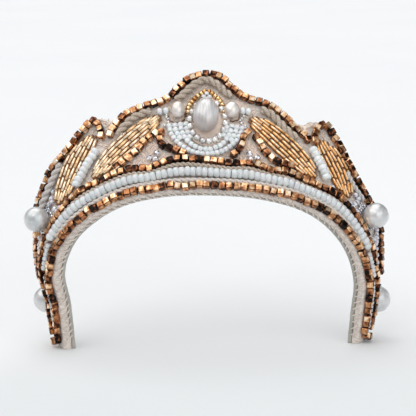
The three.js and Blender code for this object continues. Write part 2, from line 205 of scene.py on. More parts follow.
def face_at(along, up, lift):
    """The same in metres in the part's frame. HOME puts the centre pearl where its solid is."""
    point, run, rise, outward = face_raw(along, up, lift)
    return point * MM + HOME, run, rise, outward


print("the frame's place is", [round(v, 5) for v in HOME])

# %% [markdown]
# ## Lines on the face
#
# A row of beads follows a thread. The thread's line is drawn flat with a few marks, made smooth,
# and laid on the face. Beads are then set along it at even steps, each turned to follow the line.
# An array of one bead on a curve would do that too, but every bead would then be the same.

# %% Marks of the rows: shares along, and shares of the crest's height
MIDDLE = [
    (-0.982, 0.12), (-0.84, 0.12), (-0.75, 0.125), (-0.7, 0.147), (-0.63, 0.187), (-0.55, 0.2),
    (-0.47, 0.224), (-0.38, 0.216), (-0.27, 0.224), (-0.21, 0.208), (-0.12, 0.25), (-0.02, 0.237),
    (0.07, 0.22), (0.12, 0.233), (0.2, 0.208), (0.26, 0.21), (0.33, 0.186), (0.46, 0.198),
    (0.55, 0.165), (0.62, 0.145), (0.7, 0.123), (0.84, 0.12), (0.936, 0.12),
]
CREST = [
    (-0.318, 0.562), (-0.31, 0.608), (-0.285, 0.668), (-0.26, 0.715), (-0.2, 0.754), (-0.155, 0.768),
    (-0.133, 0.81), (-0.11, 0.87), (-0.08, 0.945), (-0.027, 1), (0.026, 0.952), (0.07, 0.858),
    (0.12, 0.796), (0.16, 0.765), (0.2, 0.73), (0.232, 0.665), (0.265, 0.6), (0.295, 0.565),
    (0.306, 0.522),
]
EAR_LEFT = [
    (-0.335, 0.63), (-0.338, 0.7), (-0.352, 0.77), (-0.375, 0.735), (-0.42, 0.672), (-0.5, 0.62),
    (-0.555, 0.55), (-0.6, 0.5), (-0.65, 0.42), (-0.69, 0.33), (-0.72, 0.25), (-0.745, 0.2),
    (-0.765, 0.184),
]
EAR_RIGHT = [
    (0.316, 0.6), (0.32, 0.68), (0.338, 0.735), (0.366, 0.67), (0.4, 0.592), (0.44, 0.51),
    (0.48, 0.435), (0.53, 0.415), (0.6, 0.395), (0.64, 0.33), (0.675, 0.25), (0.71, 0.198),
    (0.735, 0.184),
]
CORNER_LEFT = [(-0.162, 0.53), (-0.167, 0.4), (-0.118, 0.33)]
CORNER_RIGHT = [(0.127, 0.52), (0.108, 0.47), (0.1, 0.37), (0.077, 0.3)]
FAN_LEFT = [(-0.19, 0.484), (-0.224, 0.427), (-0.25, 0.36), (-0.295, 0.303)]
FAN_RIGHT = [(0.148, 0.44), (0.178, 0.35), (0.215, 0.3), (0.245, 0.278)]
PANEL_LEFT = [(-0.358, 0.485), (-0.455, 0.285)]
PANEL_RIGHT = [(0.317, 0.478), (0.385, 0.27)]
LOWER_UP = 1.7 / CREST_HEIGHT
TURN_ROOM = (CUBE / 2 + 3 * CLEARANCE) / HALF
TURN_LEFT, TURN_RIGHT = FOOT_LEFT + TURN_ROOM, FOOT_RIGHT - TURN_ROOM
LOWER = [
    (TURN_LEFT, 0.12), (TURN_LEFT + 0.002, 0.07),
    *((float(along), LOWER_UP) for along in np.linspace(TURN_LEFT + 0.02, TURN_RIGHT - 0.02, 33)),
    (TURN_RIGHT - 0.002, 0.07), (TURN_RIGHT, 0.12),
]

# %% Marks of the leaves: tip, low end, and where the upper and lower sides bulge to
LEAF_ROWS = 6
LEAVES = {
    "inner_fan_left": ((-0.162, 0.655), (-0.396, 0.265), (-0.303, 0.514), (-0.254, 0.404)),
    "inner_fan_right": ((0.119, 0.636), (0.348, 0.236), (0.264, 0.501), (0.208, 0.382)),
    "outer_fan_left": ((-0.352, 0.66), (-0.522, 0.275), (-0.49, 0.515), (-0.409, 0.42)),
    "outer_fan_right": ((0.329, 0.6), (0.457, 0.25), (0.436, 0.465), (0.368, 0.388)),
}

# %% The felt's outline follows the rows at its edge and fills most of the two notches
ROOM = (CUBE / 2 + CLEARANCE) / CREST_HEIGHT
LEG_TOP = 0.12 + ROOM
OUTLINE = [
    (FOOT_LEFT, LEG_TOP), (-0.79, LEG_TOP), *((a - 0.008, up + ROOM) for a, up in EAR_LEFT[:1:-1]),
    (-0.322, 0.765), (-0.303, 0.72), *((a, up + ROOM) for a, up in CREST[3:16]),
    (0.285, 0.685), (0.305, 0.735), *((a + 0.008, up + ROOM) for a, up in EAR_RIGHT[2:]),
    (0.765, LEG_TOP), (FOOT_RIGHT, LEG_TOP),
]


# %% A smooth flat line through the marks
def flat_line(marks, steps=16):
    """Points in millimetres, along the edge and up the face, on a smooth line through the marks."""
    spots = [np.array([along * HALF, up * CREST_HEIGHT]) for along, up in marks]
    spots = [2 * spots[0] - spots[1], *spots, 2 * spots[-1] - spots[-2]]
    line = []
    for p0, p1, p2, p3 in zip(spots, spots[1:], spots[2:], spots[3:]):
        d0, d1, d2 = (math.sqrt(np.linalg.norm(b - a)) for a, b in ((p0, p1), (p1, p2), (p2, p3)))
        start = ((p1 - p0) / d0 - (p2 - p0) / (d0 + d1) + (p2 - p1) / d1) * d1
        end = ((p2 - p1) / d1 - (p3 - p1) / (d1 + d2) + (p3 - p2) / d2) * d1
        line += [bent_between(p1, p2, start, end, t) for t in np.arange(steps) / steps]
    return np.array([*line, spots[-2]])


def beside(line, shift):
    """The flat line moved square to itself, to its left, by a length."""
    ahead = np.gradient(line, axis=0)
    ahead /= np.linalg.norm(ahead, axis=1)[:, None]
    return line + np.stack([-ahead[:, 1], ahead[:, 0]], axis=1) * shift


def between(line, start, end):
    """The part of a flat line between two shares along."""
    return line[(line[:, 0] >= start * HALF) & (line[:, 0] <= end * HALF)]


def height_on(line, x):
    return float(np.interp(x, line[:, 0], line[:, 1]))


# %% A line laid on the face, and even places on it
BEAD_REACH = 0.0006


def on_face(line, lift):
    """The flat line's points on the face, each with the direction off the face."""
    spots = [face_at(x / HALF, up, lift) for x, up in line]
    return np.array([spot[0] for spot in spots]), np.array([spot[3] for spot in spots])


def even_places(points, outward, pitch, ends=0.0):
    """Matrices at even steps on a line of points: X runs along it and Z points off the face."""
    lengths = lengths_on(points)
    count = max(1, round((lengths[-1] - 2 * ends * MM) / (pitch * MM)))
    step = (lengths[-1] - 2 * ends * MM) / count
    places = []
    for k in range(count):
        s = ends * MM + (k + 0.5) * step
        spots = (s - BEAD_REACH, s, s + BEAD_REACH)
        before, here, after = (between_rows(points, lengths, spot) for spot in spots)
        run = (after - before).normalized()
        side = between_rows(outward, lengths, s).cross(run).normalized()
        places.append(frame_matrix(here, run, side, run.cross(side)))
    return places


def between_rows(values, lengths, spot):
    return Vector([np.interp(spot, lengths, values[:, i]) for i in range(3)])


def frame_matrix(point, run, side, off):
    matrix = Matrix((run, side, off)).transposed().to_4x4()
    matrix.translation = point
    return matrix


def place_at(along, up, lift, turn=0.0):
    """A matrix at one place on the face, turned about the direction off it."""
    point, run, rise, outward = face_at(along, up * CREST_HEIGHT, lift)
    return frame_matrix(point, run, rise, outward) @ Matrix.Rotation(turn, 4, "Z")


middle_line = flat_line(MIDDLE)
crest_line = flat_line(CREST)
ear_line_left = flat_line(EAR_LEFT)
ear_line_right = flat_line(EAR_RIGHT)
lower_line = flat_line(LOWER)
outline_line = flat_line(OUTLINE)
print(f"{len(middle_line)} points on the middle row's line")

# %% [markdown]
# ## Finishes
#
# Each finish is a small tree of shader nodes. Fabric, leather and metal all need variation at the
# scale of the real thing, so noise reads Object coordinates in metres: a scale of 900 gives
# features about a millimetre wide. Beads of one row differ a little, because their coating does,
# so every bead carries a number called `tint` on its faces, and the finish reads it. The tint also
# carries painted light and shade: on the cube beads, on the tube beads and on the darker white rows.


# %% Helpers for finishes
class Finish:
    """A material with a Principled shader, and short ways of adding the usual nodes to it."""

    def __init__(self, name, **settings):
        self.material = bpy.data.materials.new(name)
        self.material.use_nodes = True
        self.tree = self.material.node_tree
        self.shader = self.tree.nodes["Principled BSDF"]
        for socket, value in settings.items():
            self.shader.inputs[socket.replace("_", " ")].default_value = value
        self.place = self.tree.nodes.new("ShaderNodeTexCoord").outputs["Object"]

    def node(self, kind, links, **settings):
        made = self.tree.nodes.new("ShaderNode" + kind)
        for key, value in settings.items():
            setattr(made, key, value)
        for socket, value in links.items():
            if isinstance(value, bpy.types.NodeSocket):
                self.tree.links.new(value, made.inputs[socket])
            else:
                made.inputs[socket].default_value = value
        return made

    def noise(self, scale, detail=2.0, rough=0.5, place=None):
        settings = {"Scale": scale, "Detail": detail, "Roughness": rough}
        return self.node("TexNoise", {"Vector": place or self.place, **settings}).outputs["Fac"]

    def ramp(self, factor, stops):
        made = self.node("ValToRGB", {"Fac": factor})
        band = made.color_ramp
        band.elements[0].position, band.elements[0].color = stops[0][0], (*stops[0][1], 1)
        band.elements[1].position, band.elements[1].color = stops[-1][0], (*stops[-1][1], 1)
        for spot, colour in stops[1:-1]:
            band.elements.new(spot).color = (*colour, 1)
        return made.outputs["Color"]

    def remap(self, value, low, high):
        links = {"Value": value, "To Min": low, "To Max": high}
        return self.node("MapRange", links).outputs["Result"]

    def fade(self, axis, start, end, low, high):
        """A number that goes smoothly from low to high between two places on an axis."""
        place = self.node("SeparateXYZ", {"Vector": self.place}).outputs[axis]
        links = {"Value": place, "From Min": start, "From Max": end, "To Min": low, "To Max": high}
        return self.node("MapRange", links, interpolation_type="SMOOTHSTEP").outputs["Result"]

    def mix(self, factor, a, b):
        made = self.node("Mix", {0: factor, 6: a, 7: b}, data_type="RGBA")
        return made.outputs[2]

    def tint(self):
        return self.node("Attribute", {}, attribute_name="tint").outputs["Fac"]

    def bump(self, height, distance, strength=1.0):
        links = {"Height": height, "Distance": distance * MM, "Strength": strength}
        return self.node("Bump", links).outputs["Normal"]

    def wear(self, **links):
        for socket, value in links.items():
            self.tree.links.new(value, self.shader.inputs[socket.replace("_", " ")])
        return self.material


# %% Felt, leather and thread
def felt_finish(name):
    """Pale cotton felt: soft blotches, a fine nap and thin fibres."""
    sheen = {"Sheen_Weight": 0.35, "Sheen_Roughness": 0.5, "Sheen_Tint": (0.9, 0.82, 0.74, 1)}
    f = Finish(name, Roughness=0.95, **sheen)
    blotch = f.ramp(f.noise(220, 3), [(0.3, (0.62, 0.53, 0.47)), (0.7, (0.88, 0.79, 0.72))])
    slant = f.node("Mapping", {"Vector": f.place, "Scale": (0.3, 1, 1), "Rotation": (0, 0.6, 0)})
    nap = f.noise(1500, 3, 0.65, slant.outputs["Vector"])
    colour = f.mix(0.5, blotch, f.ramp(nap, [(0.34, (0.44, 0.35, 0.29)), (0.66, (1.0, 0.95, 0.88))]))
    return f.wear(Base_Color=colour, Normal=f.bump(nap, 0.3, 1.0))


def leather_finish(name):
    """Grey-beige lining leather with a fine pebble grain."""
    f = Finish(name, Roughness=0.55)
    pebble = f.node("TexVoronoi", {"Vector": f.place, "Scale": 1500}, feature="SMOOTH_F1")
    cloud = f.ramp(f.noise(90, 3), [(0.3, (0.36, 0.345, 0.3)), (0.7, (0.47, 0.45, 0.4))])
    rough = f.remap(f.noise(400), 0.45, 0.7)
    grain = f.bump(pebble.outputs["Distance"], 0.05, 0.6)
    return f.wear(Base_Color=cloud, Roughness=rough, Normal=grain)


def thread_finish(name, dark, light, scale=2600):
    """Spun thread: fine fibres in two close colours."""
    f = Finish(name, Roughness=0.8, Sheen_Weight=0.3)
    fibre = f.noise(scale, 3, 0.65)
    colour = f.ramp(fibre, [(0.3, dark), (0.7, light)])
    return f.wear(Base_Color=colour, Normal=f.bump(fibre, 0.1, 0.7))


# %% Metal-coated and glass beads
def coated_finish(name, stops, low, high, clouding=0.25, metal=1.0):
    """Metal coating. Its tone differs from face to face, and wanders a little within each face."""
    f = Finish(name, Metallic=metal, Roughness=0.2)
    cloud = f.remap(f.noise(480, 1), -2 * clouding, 2 * clouding)
    tone = f.node("Math", {0: f.tint(), 1: cloud}, operation="ADD").outputs["Value"]
    rough = f.remap(f.noise(900, 2), low, high)
    return f.wear(Base_Color=f.ramp(tone, stops), Roughness=rough)


def glass_finish(name, dark, light, rough):
    """Opaque glossy glass with a soft glow and a faint ripple."""
    glow = {"Subsurface_Weight": 0.15, "Subsurface_Scale": 0.0008}
    f = Finish(name, Roughness=rough, Coat_Weight=0.6, Coat_Roughness=0.08, **glow)
    cloud = f.noise(500, 2)
    clouded = f.ramp(cloud, [(0.35, dark), (0.65, light)])
    colour = f.mix(0.25, f.ramp(f.tint(), [(0, dark), (1, light)]), clouded)
    return f.wear(Base_Color=colour, Normal=f.bump(cloud, 0.04, 0.3))


# %% Pearl lustre
def pearl_finish(name, base, glow, streaks, foot=None):
    """Nacre: a pale body with soft patches, fine growth lines, a clear gloss, perhaps warmer and darker
    towards the bottom.
    """
    depth = {"Subsurface_Weight": 0.1, "Subsurface_Scale": 0.001}
    gloss = {"Roughness": 0.3, "Metallic": 0.25 if foot else 0.45, "Coat_Roughness": 0.1}
    f = Finish(name, Coat_Weight=0.8, **gloss, **depth)
    patches = f.noise(110, 1.5)
    stretched = f.node("Mapping", {"Vector": f.place, "Scale": streaks}).outputs["Vector"]
    lines = f.noise(260, 2, 0.5, stretched)
    share = 0.5 if foot else 0.3
    body = f.ramp(patches, [(0.3, base), (0.7, glow)])
    colour = f.mix(share, body, f.ramp(lines, [(0.35, glow), (0.65, base)]))
    if foot:
        # the colour turns warmer and darker towards the bottom of the pearl
        start, end, warm = foot
        low = f.fade("Z", start, end, 0.9, 0.0)
        colour = f.mix(low, colour, f.ramp(lines, [(0.3, warm), (0.7, base)]))
    return f.wear(Base_Color=colour, Normal=f.bump(lines, 0.12, 0.35))


PEARL_DARKER_BOTTOM = (pearl_low.z, pearl_low.z + 0.0105, (0.38, 0.25, 0.19))
# copper tones for the tint: the cream top stops stand for painted highlights
COPPER_STOPS = [
    (0.0, (0.012, 0.008, 0.006)),
    (0.13, (0.07, 0.024, 0.013)),
    (0.3, (0.29, 0.105, 0.045)),
    (0.6, (0.55, 0.26, 0.115)),
    (0.82, (0.92, 0.59, 0.33)),
    (1.0, (1.0, 0.85, 0.66)),
]
GOLD_STOPS = [(0.0, (0.55, 0.26, 0.08)), (0.5, (0.85, 0.5, 0.19)), (1.0, (1.0, 0.76, 0.44))]
# tube tones for the tint: the cream top stop is the painted highlight streak
TUBE_STOPS = [
    (0.0, (0.38, 0.13, 0.02)),
    (0.3, (0.75, 0.31, 0.06)),
    (0.68, (0.95, 0.55, 0.18)),
    (0.95, (1.0, 0.93, 0.76)),
]
SILVER_STOPS = [(0.0, (0.35, 0.36, 0.4)), (0.5, (0.72, 0.73, 0.77)), (1.0, (0.97, 0.97, 1.0))]
PALE_SILVER_STOPS = [(0.0, (0.7, 0.68, 0.68)), (0.5, (0.88, 0.87, 0.86)), (1.0, (1, 0.99, 0.97))]
CRYSTAL_STOPS = [(0.0, (0.12, 0.07, 0.09)), (0.35, (0.62, 0.6, 0.66)), (0.75, (1.0, 0.99, 1.0))]
WIRE_STOPS = [(0.0, (0.2, 0.1, 0.05)), (0.5, (0.4, 0.2, 0.1)), (1.0, (0.5, 0.28, 0.14))]
RECIPES = {
    "felt": (felt_finish,),
    "leather": (leather_finish,),
    "cord": (thread_finish, (0.31, 0.24, 0.18), (0.72, 0.62, 0.52), 1700),
    "pale_cord": (thread_finish, (0.6, 0.52, 0.46), (0.82, 0.75, 0.69), 1500),
    "grey_cord": (thread_finish, (0.42, 0.39, 0.37), (0.74, 0.71, 0.69), 1700),
    "amber_thread": (thread_finish, (0.12, 0.05, 0.02), (0.36, 0.17, 0.07)),
    "dark_thread": (thread_finish, (0.05, 0.03, 0.02), (0.16, 0.09, 0.055)),
    "peach": (thread_finish, (0.85, 0.62, 0.49), (1.0, 0.9, 0.81)),
    "copper": (coated_finish, COPPER_STOPS, 0.12, 0.28, 0.36, 0.9),
    "copper_wire": (coated_finish, WIRE_STOPS, 0.3, 0.5),
    "gold": (coated_finish, GOLD_STOPS, 0.1, 0.22),
    "tube": (coated_finish, TUBE_STOPS, 0.14, 0.24, 0.0, 0.5),
    "silver": (coated_finish, SILVER_STOPS, 0.06, 0.18),
    "pale_silver": (coated_finish, PALE_SILVER_STOPS, 0.12, 0.25, 0.25, 0.5),
    "crystal": (coated_finish, CRYSTAL_STOPS, 0.05, 0.12, 0.1, 0.6),
    "white": (glass_finish, (0.57, 0.595, 0.605), (0.9, 0.92, 0.93), 0.28),
    "lilac": (glass_finish, (0.6, 0.6, 0.66), (0.82, 0.81, 0.86), 0.22),
    "pearl": (pearl_finish, (0.47, 0.5, 0.51), (0.83, 0.81, 0.8), (1, 1, 1)),
    "cream": (pearl_finish, (0.7, 0.58, 0.5), (0.9, 0.87, 0.83), (1, 1, 1)),
    "baroque": (pearl_finish, (0.44, 0.42, 0.41), (0.84, 0.83, 0.83), (5, 1, 0.35), PEARL_DARKER_BOTTOM),
}
FINISHES = {name: make(name, *values) for name, (make, *values) in RECIPES.items()}
print("finishes:", ", ".join(FINISHES))

# %% [markdown]
# ## Making pieces
#
# A bead is modelled once, round its own centre, with the hole for its thread along X. Instances
# of it could fill the rows, but a whole row is easier to handle as one piece. So copies are
# stamped into one mesh, and a scene can hold a thousand beads without a thousand objects. Each
# copy is nudged and turned a little, because beads sewn by hand never sit perfectly in line.


# %% From a bmesh to a template, and from templates to a piece
def mesh_of(bm, name):
    """The bmesh written to a mesh and freed."""
    mesh = bpy.data.meshes.new(name)
    bm.to_mesh(mesh)
    bm.free()
    return mesh


def template(bm, smooth=True):
    """A mesh with its doubles merged and its normals outward."""
    bmesh.ops.remove_doubles(bm, verts=bm.verts, dist=1e-7)
    bmesh.ops.recalc_face_normals(bm, faces=bm.faces)
    for face in bm.faces:
        face.smooth = smooth
    return mesh_of(bm, "template")


def stamped(stamps, spread=0.0):
    """One mesh of many copies. A stamp is a template, a matrix and a tint, or a tint for each face."""
    bm = bmesh.new()
    tints = []
    for shape, place, tint in stamps:
        copy = shape.copy()
        copy.transform(place)
        bm.from_mesh(copy, face_normals=False, vertex_normals=False)
        bpy.data.meshes.remove(copy)
        shades = [tint] * len(shape.polygons) if isinstance(tint, float) else tint
        tints += [min(max(shade + chance.uniform(-spread, spread), 0), 1) for shade in shades]
    mesh = mesh_of(bm, "stamped")
    mesh.attributes.new("tint", "FLOAT", "FACE").data.foreach_set("value", tints)
    return mesh


def add_object(name, data):
    """An object of that mesh, lamp or lens, in the scene."""
    made = bpy.data.objects.new(name, data)
    bpy.context.scene.collection.objects.link(made)
    return made


def keep(name, mesh, finish, slot, *nodes):
    """The mesh becomes a piece of the headdress, in place of the nodes that it stands for."""
    mesh.materials.clear()
    mesh.materials.append(FINISHES[finish])
    piece = add_object(name, mesh)
    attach(piece, "root")
    if nodes:
        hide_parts(*nodes)
    return piece


def nudged(place, slide, turn):
    """A place moved and turned a little by chance, by millimetres and degrees."""
    shift = Matrix.Translation([chance.uniform(-slide, slide) * MM for axis in range(3)])
    angles = [math.radians(chance.uniform(-turn, turn)) for axis in range(3)]
    return place @ shift @ Euler(angles).to_matrix().to_4x4()


# %% Templates of cube beads and round beads
def end_faces(bm):
    """The faces at both ends of a bead, where its thread goes in and out."""
    bm.normal_update()
    return [face for face in bm.faces if abs(face.normal.x) > 0.99]


def cube_bead(size, hole):
    """A cube with softened edges and a sunk hole at each end."""
    bm = bmesh.new()
    bmesh.ops.create_cube(bm, size=size * MM)
    soft = {"segments": 1, "profile": 0.5, "affect": "EDGES", "material": -1}
    bmesh.ops.bevel(bm, geom=bm.edges[:], offset=0.12 * size * MM, **soft)
    ends = end_faces(bm)
    bmesh.ops.inset_individual(bm, faces=ends, thickness=(0.38 * size - hole / 2) * MM)
    bmesh.ops.inset_individual(bm, faces=ends, thickness=0.08 * MM, depth=-0.5 * MM)
    return template(bm, smooth=False)


def ring_bead(width, length, hole, sides=10, corners=6):
    """A round glass bead: the section of its wall, spun about the thread."""
    bm = bmesh.new()
    wall = (width - hole) / 2
    bmesh.ops.create_circle(bm, segments=corners, radius=1)
    size = Matrix.Diagonal((length / 2 * MM, wall / 2 * MM, 1, 1)) * (1 / math.cos(math.pi / corners))
    size[3][3] = 1
    turn = Matrix.Rotation(math.pi / corners, 4, "Z")
    place = Matrix.Translation((0, (hole + wall) / 2 * MM, 0)) @ size @ turn
    bmesh.ops.transform(bm, matrix=place, verts=bm.verts)
    section = bm.verts[:] + bm.edges[:]
    full = {"cent": (0, 0, 0), "axis": (1, 0, 0), "angle": 2 * math.pi, "use_merge": True}
    bmesh.ops.spin(bm, geom=section, steps=sides, **full)
    return template(bm)


# %% Templates of tube beads, stones, pearls and stitches
def tube_bead(width, length):
    """A glass tube with sunk ends."""
    bm = bmesh.new()
    size = {"radius1": width / 2 * MM, "radius2": width / 2 * MM, "depth": length * MM}
    bmesh.ops.create_cone(bm, cap_ends=True, segments=10, **size)
    bmesh.ops.rotate(bm, verts=bm.verts, matrix=Matrix.Rotation(math.pi / 2, 3, "Y"))
    ends = end_faces(bm)
    bmesh.ops.inset_individual(bm, faces=ends, thickness=0.25 * width * MM)
    bmesh.ops.inset_individual(bm, faces=ends, thickness=0.02 * width * MM, depth=-0.4 * MM)
    mesh = template(bm)
    for face in mesh.polygons:
        face.use_smooth = abs(face.normal.x) < 0.5
    return mesh


def cut_crystal(width):
    """A round stone cut all over with flat facets, like the faceted glass beads of the real piece."""
    bm = bmesh.new()
    bmesh.ops.create_uvsphere(bm, u_segments=8, v_segments=6, radius=width / 2 * MM)
    return template(bm, smooth=False)


def pearl_mesh(size, waver, seed):
    """A pearl: a fine ball, never quite round."""
    bm = bmesh.new()
    bmesh.ops.create_uvsphere(bm, u_segments=48, v_segments=28, radius=0.5)
    for v in bm.verts:
        swell = 1 + waver * noise.noise(v.co * 2.3 + Vector((seed, 0, 0)))
        v.co = Vector([v.co[i] * size[i] * swell for i in range(3)]) * MM
    return template(bm)


def arc_stitch(width, bend, angle):
    """A stitch: a thread bent to an arc over an edge, its middle at the top of the arc."""
    bm = bmesh.new()
    bmesh.ops.create_circle(bm, segments=6, radius=width / 2 * MM)
    bmesh.ops.translate(bm, verts=bm.verts, vec=(0, bend * MM, 0))
    bmesh.ops.rotate(bm, verts=bm.verts, matrix=Matrix.Rotation(-angle / 2, 3, "X"))
    section = bm.verts[:] + bm.edges[:]
    bmesh.ops.spin(bm, geom=section, cent=(0, 0, 0), axis=(1, 0, 0), angle=angle, steps=6)
    bmesh.ops.holes_fill(bm, edges=[edge for edge in bm.edges if edge.is_boundary], sides=0)
    return template(bm)


# %% The beads of this headdress: width, length and hole in millimetres
CUBE_BEAD = cube_bead(CUBE, 0.9)
ARCH_BEAD = ring_bead(4.4, 2.7, 1.1, 16, 8)
PANEL_BEAD = ring_bead(4.3, 2.7, 1.1, 16, 8)
LEG_BEAD = ring_bead(2.9, 2.1, 0.8, 12)
SEED_BEAD = ring_bead(2.25, 1.75, 0.7)
SCALLOP_BEAD = ring_bead(2.7, 2.25, 0.7)
SILVER_BEAD = ring_bead(2.65, 2.4, 0.6)
TINY_BEAD = ring_bead(1.35, 1.1, 0.4, 8)
GOLD_BEAD = ring_bead(2.4, 1.5, 0.6)
BUGLE_BEAD = tube_bead(1.62, 5.5)
CRYSTAL = cut_crystal(3.0)
print("faces of a cube bead:", len(CUBE_BEAD.polygons))
print("faces of a seed bead:", len(SEED_BEAD.polygons))


# %% Tubes along lines
def tubes(lines, width, sides=3):
    """A closed round tube along each line of points."""
    curve = bpy.data.curves.new("tubes", "CURVE")
    curve.dimensions = "3D"
    curve.bevel_depth = width / 2 * MM
    curve.bevel_resolution = sides
    curve.use_fill_caps = True
    for line in lines:
        spline = curve.splines.new("POLY")
        spline.points.add(len(line) - 1)
        spline.points.foreach_set("co", np.column_stack([line, np.ones(len(line))]).ravel())
    holder = bpy.data.objects.new("tubes", curve)
    mesh = bpy.data.meshes.new_from_object(holder)
    bpy.data.objects.remove(holder)
    bpy.data.curves.remove(curve)
    bm = bmesh.new()
    bm.from_mesh(mesh)
    bpy.data.meshes.remove(mesh)
    return template(bm)


# %% [markdown]
# ## The padded band and its lining
#
# The real band is a thick felt cut to the outline of the crest, padded, and bent to the head. It
# could be sculpted, but the rows have to lie on it exactly. So a flat grid is cut to the same
# outline, given its wall, and rounded at the rim as stitching pulls it in. Then each vertex is laid
# on the curved face. The feet are cut flat where the band stands.


# %% A wall of cloth cut flat and bent over the face
GRID_ALONG = 360
GRID_UP = 18
FOOT_BLEND = 12
RIPPLE_SCALE = 0.35


def band_wall(margin, outer, wall, rounding, ripple):
    """A wall with a rounded rim and a slight ripple, its outer face at a height off the face."""
    bm = bmesh.new()
    bmesh.ops.create_grid(bm, x_segments=GRID_ALONG, y_segments=GRID_UP, size=1)
    for v in bm.verts:
        x = (FOOT_LEFT + (FOOT_RIGHT - FOOT_LEFT) * (v.co.x + 1) / 2) * HALF
        share = 0.5 - 0.5 * math.cos(math.pi * (v.co.y + 1) / 2)
        top = height_on(outline_line, x) - margin
        v.co = Vector((x, margin + share * (top - margin), 0))
    made = bmesh.ops.extrude_face_region(bm, geom=bm.faces[:])
    back = [item for item in made["geom"] if isinstance(item, bmesh.types.BMVert)]
    bmesh.ops.translate(bm, verts=back, vec=(0, 0, -wall))
    rim = outline_line - np.array([0, margin])
    for v in bm.verts:
        to_rim = float(np.min(np.hypot(rim[:, 0] - v.co.x, rim[:, 1] - v.co.y)))
        edge = min(to_rim, v.co.y - margin)
        r = min(rounding, wall / 2)
        drop = r - math.sqrt(max(r * r - max(r - edge, 0) ** 2, 0))
        lift = outer + (-drop if v.co.z == 0 else drop - wall)
        lift += ripple * noise.noise(Vector((v.co.x * RIPPLE_SCALE, v.co.y * RIPPLE_SCALE, lift)))
        v.co = on_feet(v.co.x, v.co.y, lift)
    return template(bm)


def on_feet(x, up, lift):
    """A point of a wall: near a foot it slides down the leg, so that the foot stands flat."""
    point = face_at(x / HALF, up, lift)[0]
    foot = FOOT_LEFT if x < 0 else FOOT_RIGHT
    near = FOOT_BLEND - abs(foot * HALF - x)
    if near <= 0:
        return point
    end, run = face_at(foot, up, lift)[:2]
    return point - run * (end.z / run.z) * (near / FOOT_BLEND) ** 2


# %% Felt and leather
SUNK_IN = 0.25
felt_mesh = band_wall(0.0, 0.0, FELT_WALL + SUNK_IN, 1.3, 0.3)
felt = keep("felt_band", felt_mesh, "felt", "felt", "felt_shell")
lining_mesh = band_wall(0.3, -FELT_WALL - CLEARANCE, LEATHER_WALL, 0.5, 0.1)
lining = keep("lining", lining_mesh, "leather", "leather", "leather_lining")
print("felt and lining faces:", len(felt.data.polygons), len(lining.data.polygons))

# %% [markdown]
# ## Copper rows
#
# Metal-coated cube beads run along both edges of the band and round the ears and the crest. Each
# is a cube with softened edges. One shiny finish for all would look like plastic: on the real row
# most faces catch the light as gold or copper, and about one bead in six mirrors something dark.
# So each face has a tint of its own, and these catches of light and dark reflections are painted
# into it: faces turned up and off the face are painted lighter, and the bevelled edges are painted
# darker. The sewing thread shows between the beads; it is made near black, as painted shade.

# %% Strings of cube beads
taken = []
DARK_SHARE = 0.16
FLAT_AREA = 2 * MM * MM
COPPER_PITCH = 3.32
THREAD = 1.4


def take(line, radius):
    """Notes that a flat line is covered, so that the fields of small beads keep clear of it."""
    taken.extend((x, y, radius) for x, y in line)


def string_places(line, lift, pitch):
    points, outward = on_face(line, lift)
    return even_places(points, outward, pitch)


def copper_tints(bead):
    """A tint for each face. A dark bead has two or three brighter faces, and a bright one some dark."""
    dark = chance.random() < DARK_SHARE
    middle = 0.06 if dark else chance.uniform(0.42, 0.8)
    tints = []
    for face in bead.polygons:
        flat = face.area > FLAT_AREA
        swing = 0.2 if flat else 0.3
        # painted light and shade: faces turned off the face and up it are lighter, the bevelled edges
        # darker
        bright = 0.1 * face.normal.z + 0.16 * face.normal.y - (0 if flat else 0.22)
        tint = middle + bright + chance.uniform(-swing, swing)
        if flat and chance.random() < DARK_SHARE:
            tint = 0.8 if dark else 0.1
        tints.append(tint)
    return tints


def wavering(line, reach):
    """The flat line as a hand sews it, a little off its marks."""
    shifts = [reach * noise.noise(Vector((x * 0.13, y * 0.13, 5.0))) for x, y in line]
    return np.array(line) + np.array([[shift * 0.4, shift] for shift in shifts])


def copper_row(name, line):
    """A string of cube beads and the thread that shows between them, made near black as painted shade."""
    line = wavering(line, 0.9)
    take(line, CUBE / 2)
    places = string_places(line, CLEARANCE + CUBE / 2, COPPER_PITCH)
    stamps = [(CUBE_BEAD, nudged(place, 0.27, 8), copper_tints(CUBE_BEAD)) for place in places]
    keep(name + "_beads", stamped(stamps), "copper", "copper", name)
    # the thread is real, but its near-black colour is painted shade in the gaps between the beads
    thread = tubes([on_face(line, CLEARANCE + 0.8)[0]], THREAD, 1)
    keep(name + "_thread", thread, "dark_thread", "cord")
    return len(stamps)


copper = {
    "lower_row": lower_line,
    "middle_row": middle_line,
    "crest_row": crest_line,
    "ear_row_left": ear_line_left,
    "ear_row_right": ear_line_right,
    "corner_row_left": flat_line([*CORNER_LEFT, (-0.085, 0.3)]),
    "corner_row_right": flat_line([*CORNER_RIGHT, (0.062, 0.278)]),
    "fan_row_left": flat_line([(-0.172, 0.512), *FAN_LEFT, (-0.325, 0.272)]),
    "fan_row_right": flat_line([(0.137, 0.487), *FAN_RIGHT, (0.275, 0.262)]),
}
print("cube beads:", sum(copper_row(name, line) for name, line in copper.items()))

notch_places = [place_at(-0.3365, 0.592, 2.4, 1.2), place_at(0.321, 0.556, 2.4, 1.9)]
stamps = [(CUBE_BEAD, place, copper_tints(CUBE_BEAD)) for place in notch_places]
keep("notch_beads", stamped(stamps), "copper", "copper")

# %% [markdown]
# ## White rows
#
# Large barrel beads of opaque white glass fill the arch between the two lower rows, and smaller
# ones carry on down the legs. A short row stands between the two leaves on each side. A bead could
# be a scaled ball, but a real one is cut from a tube and melted round, so its wall is spun.


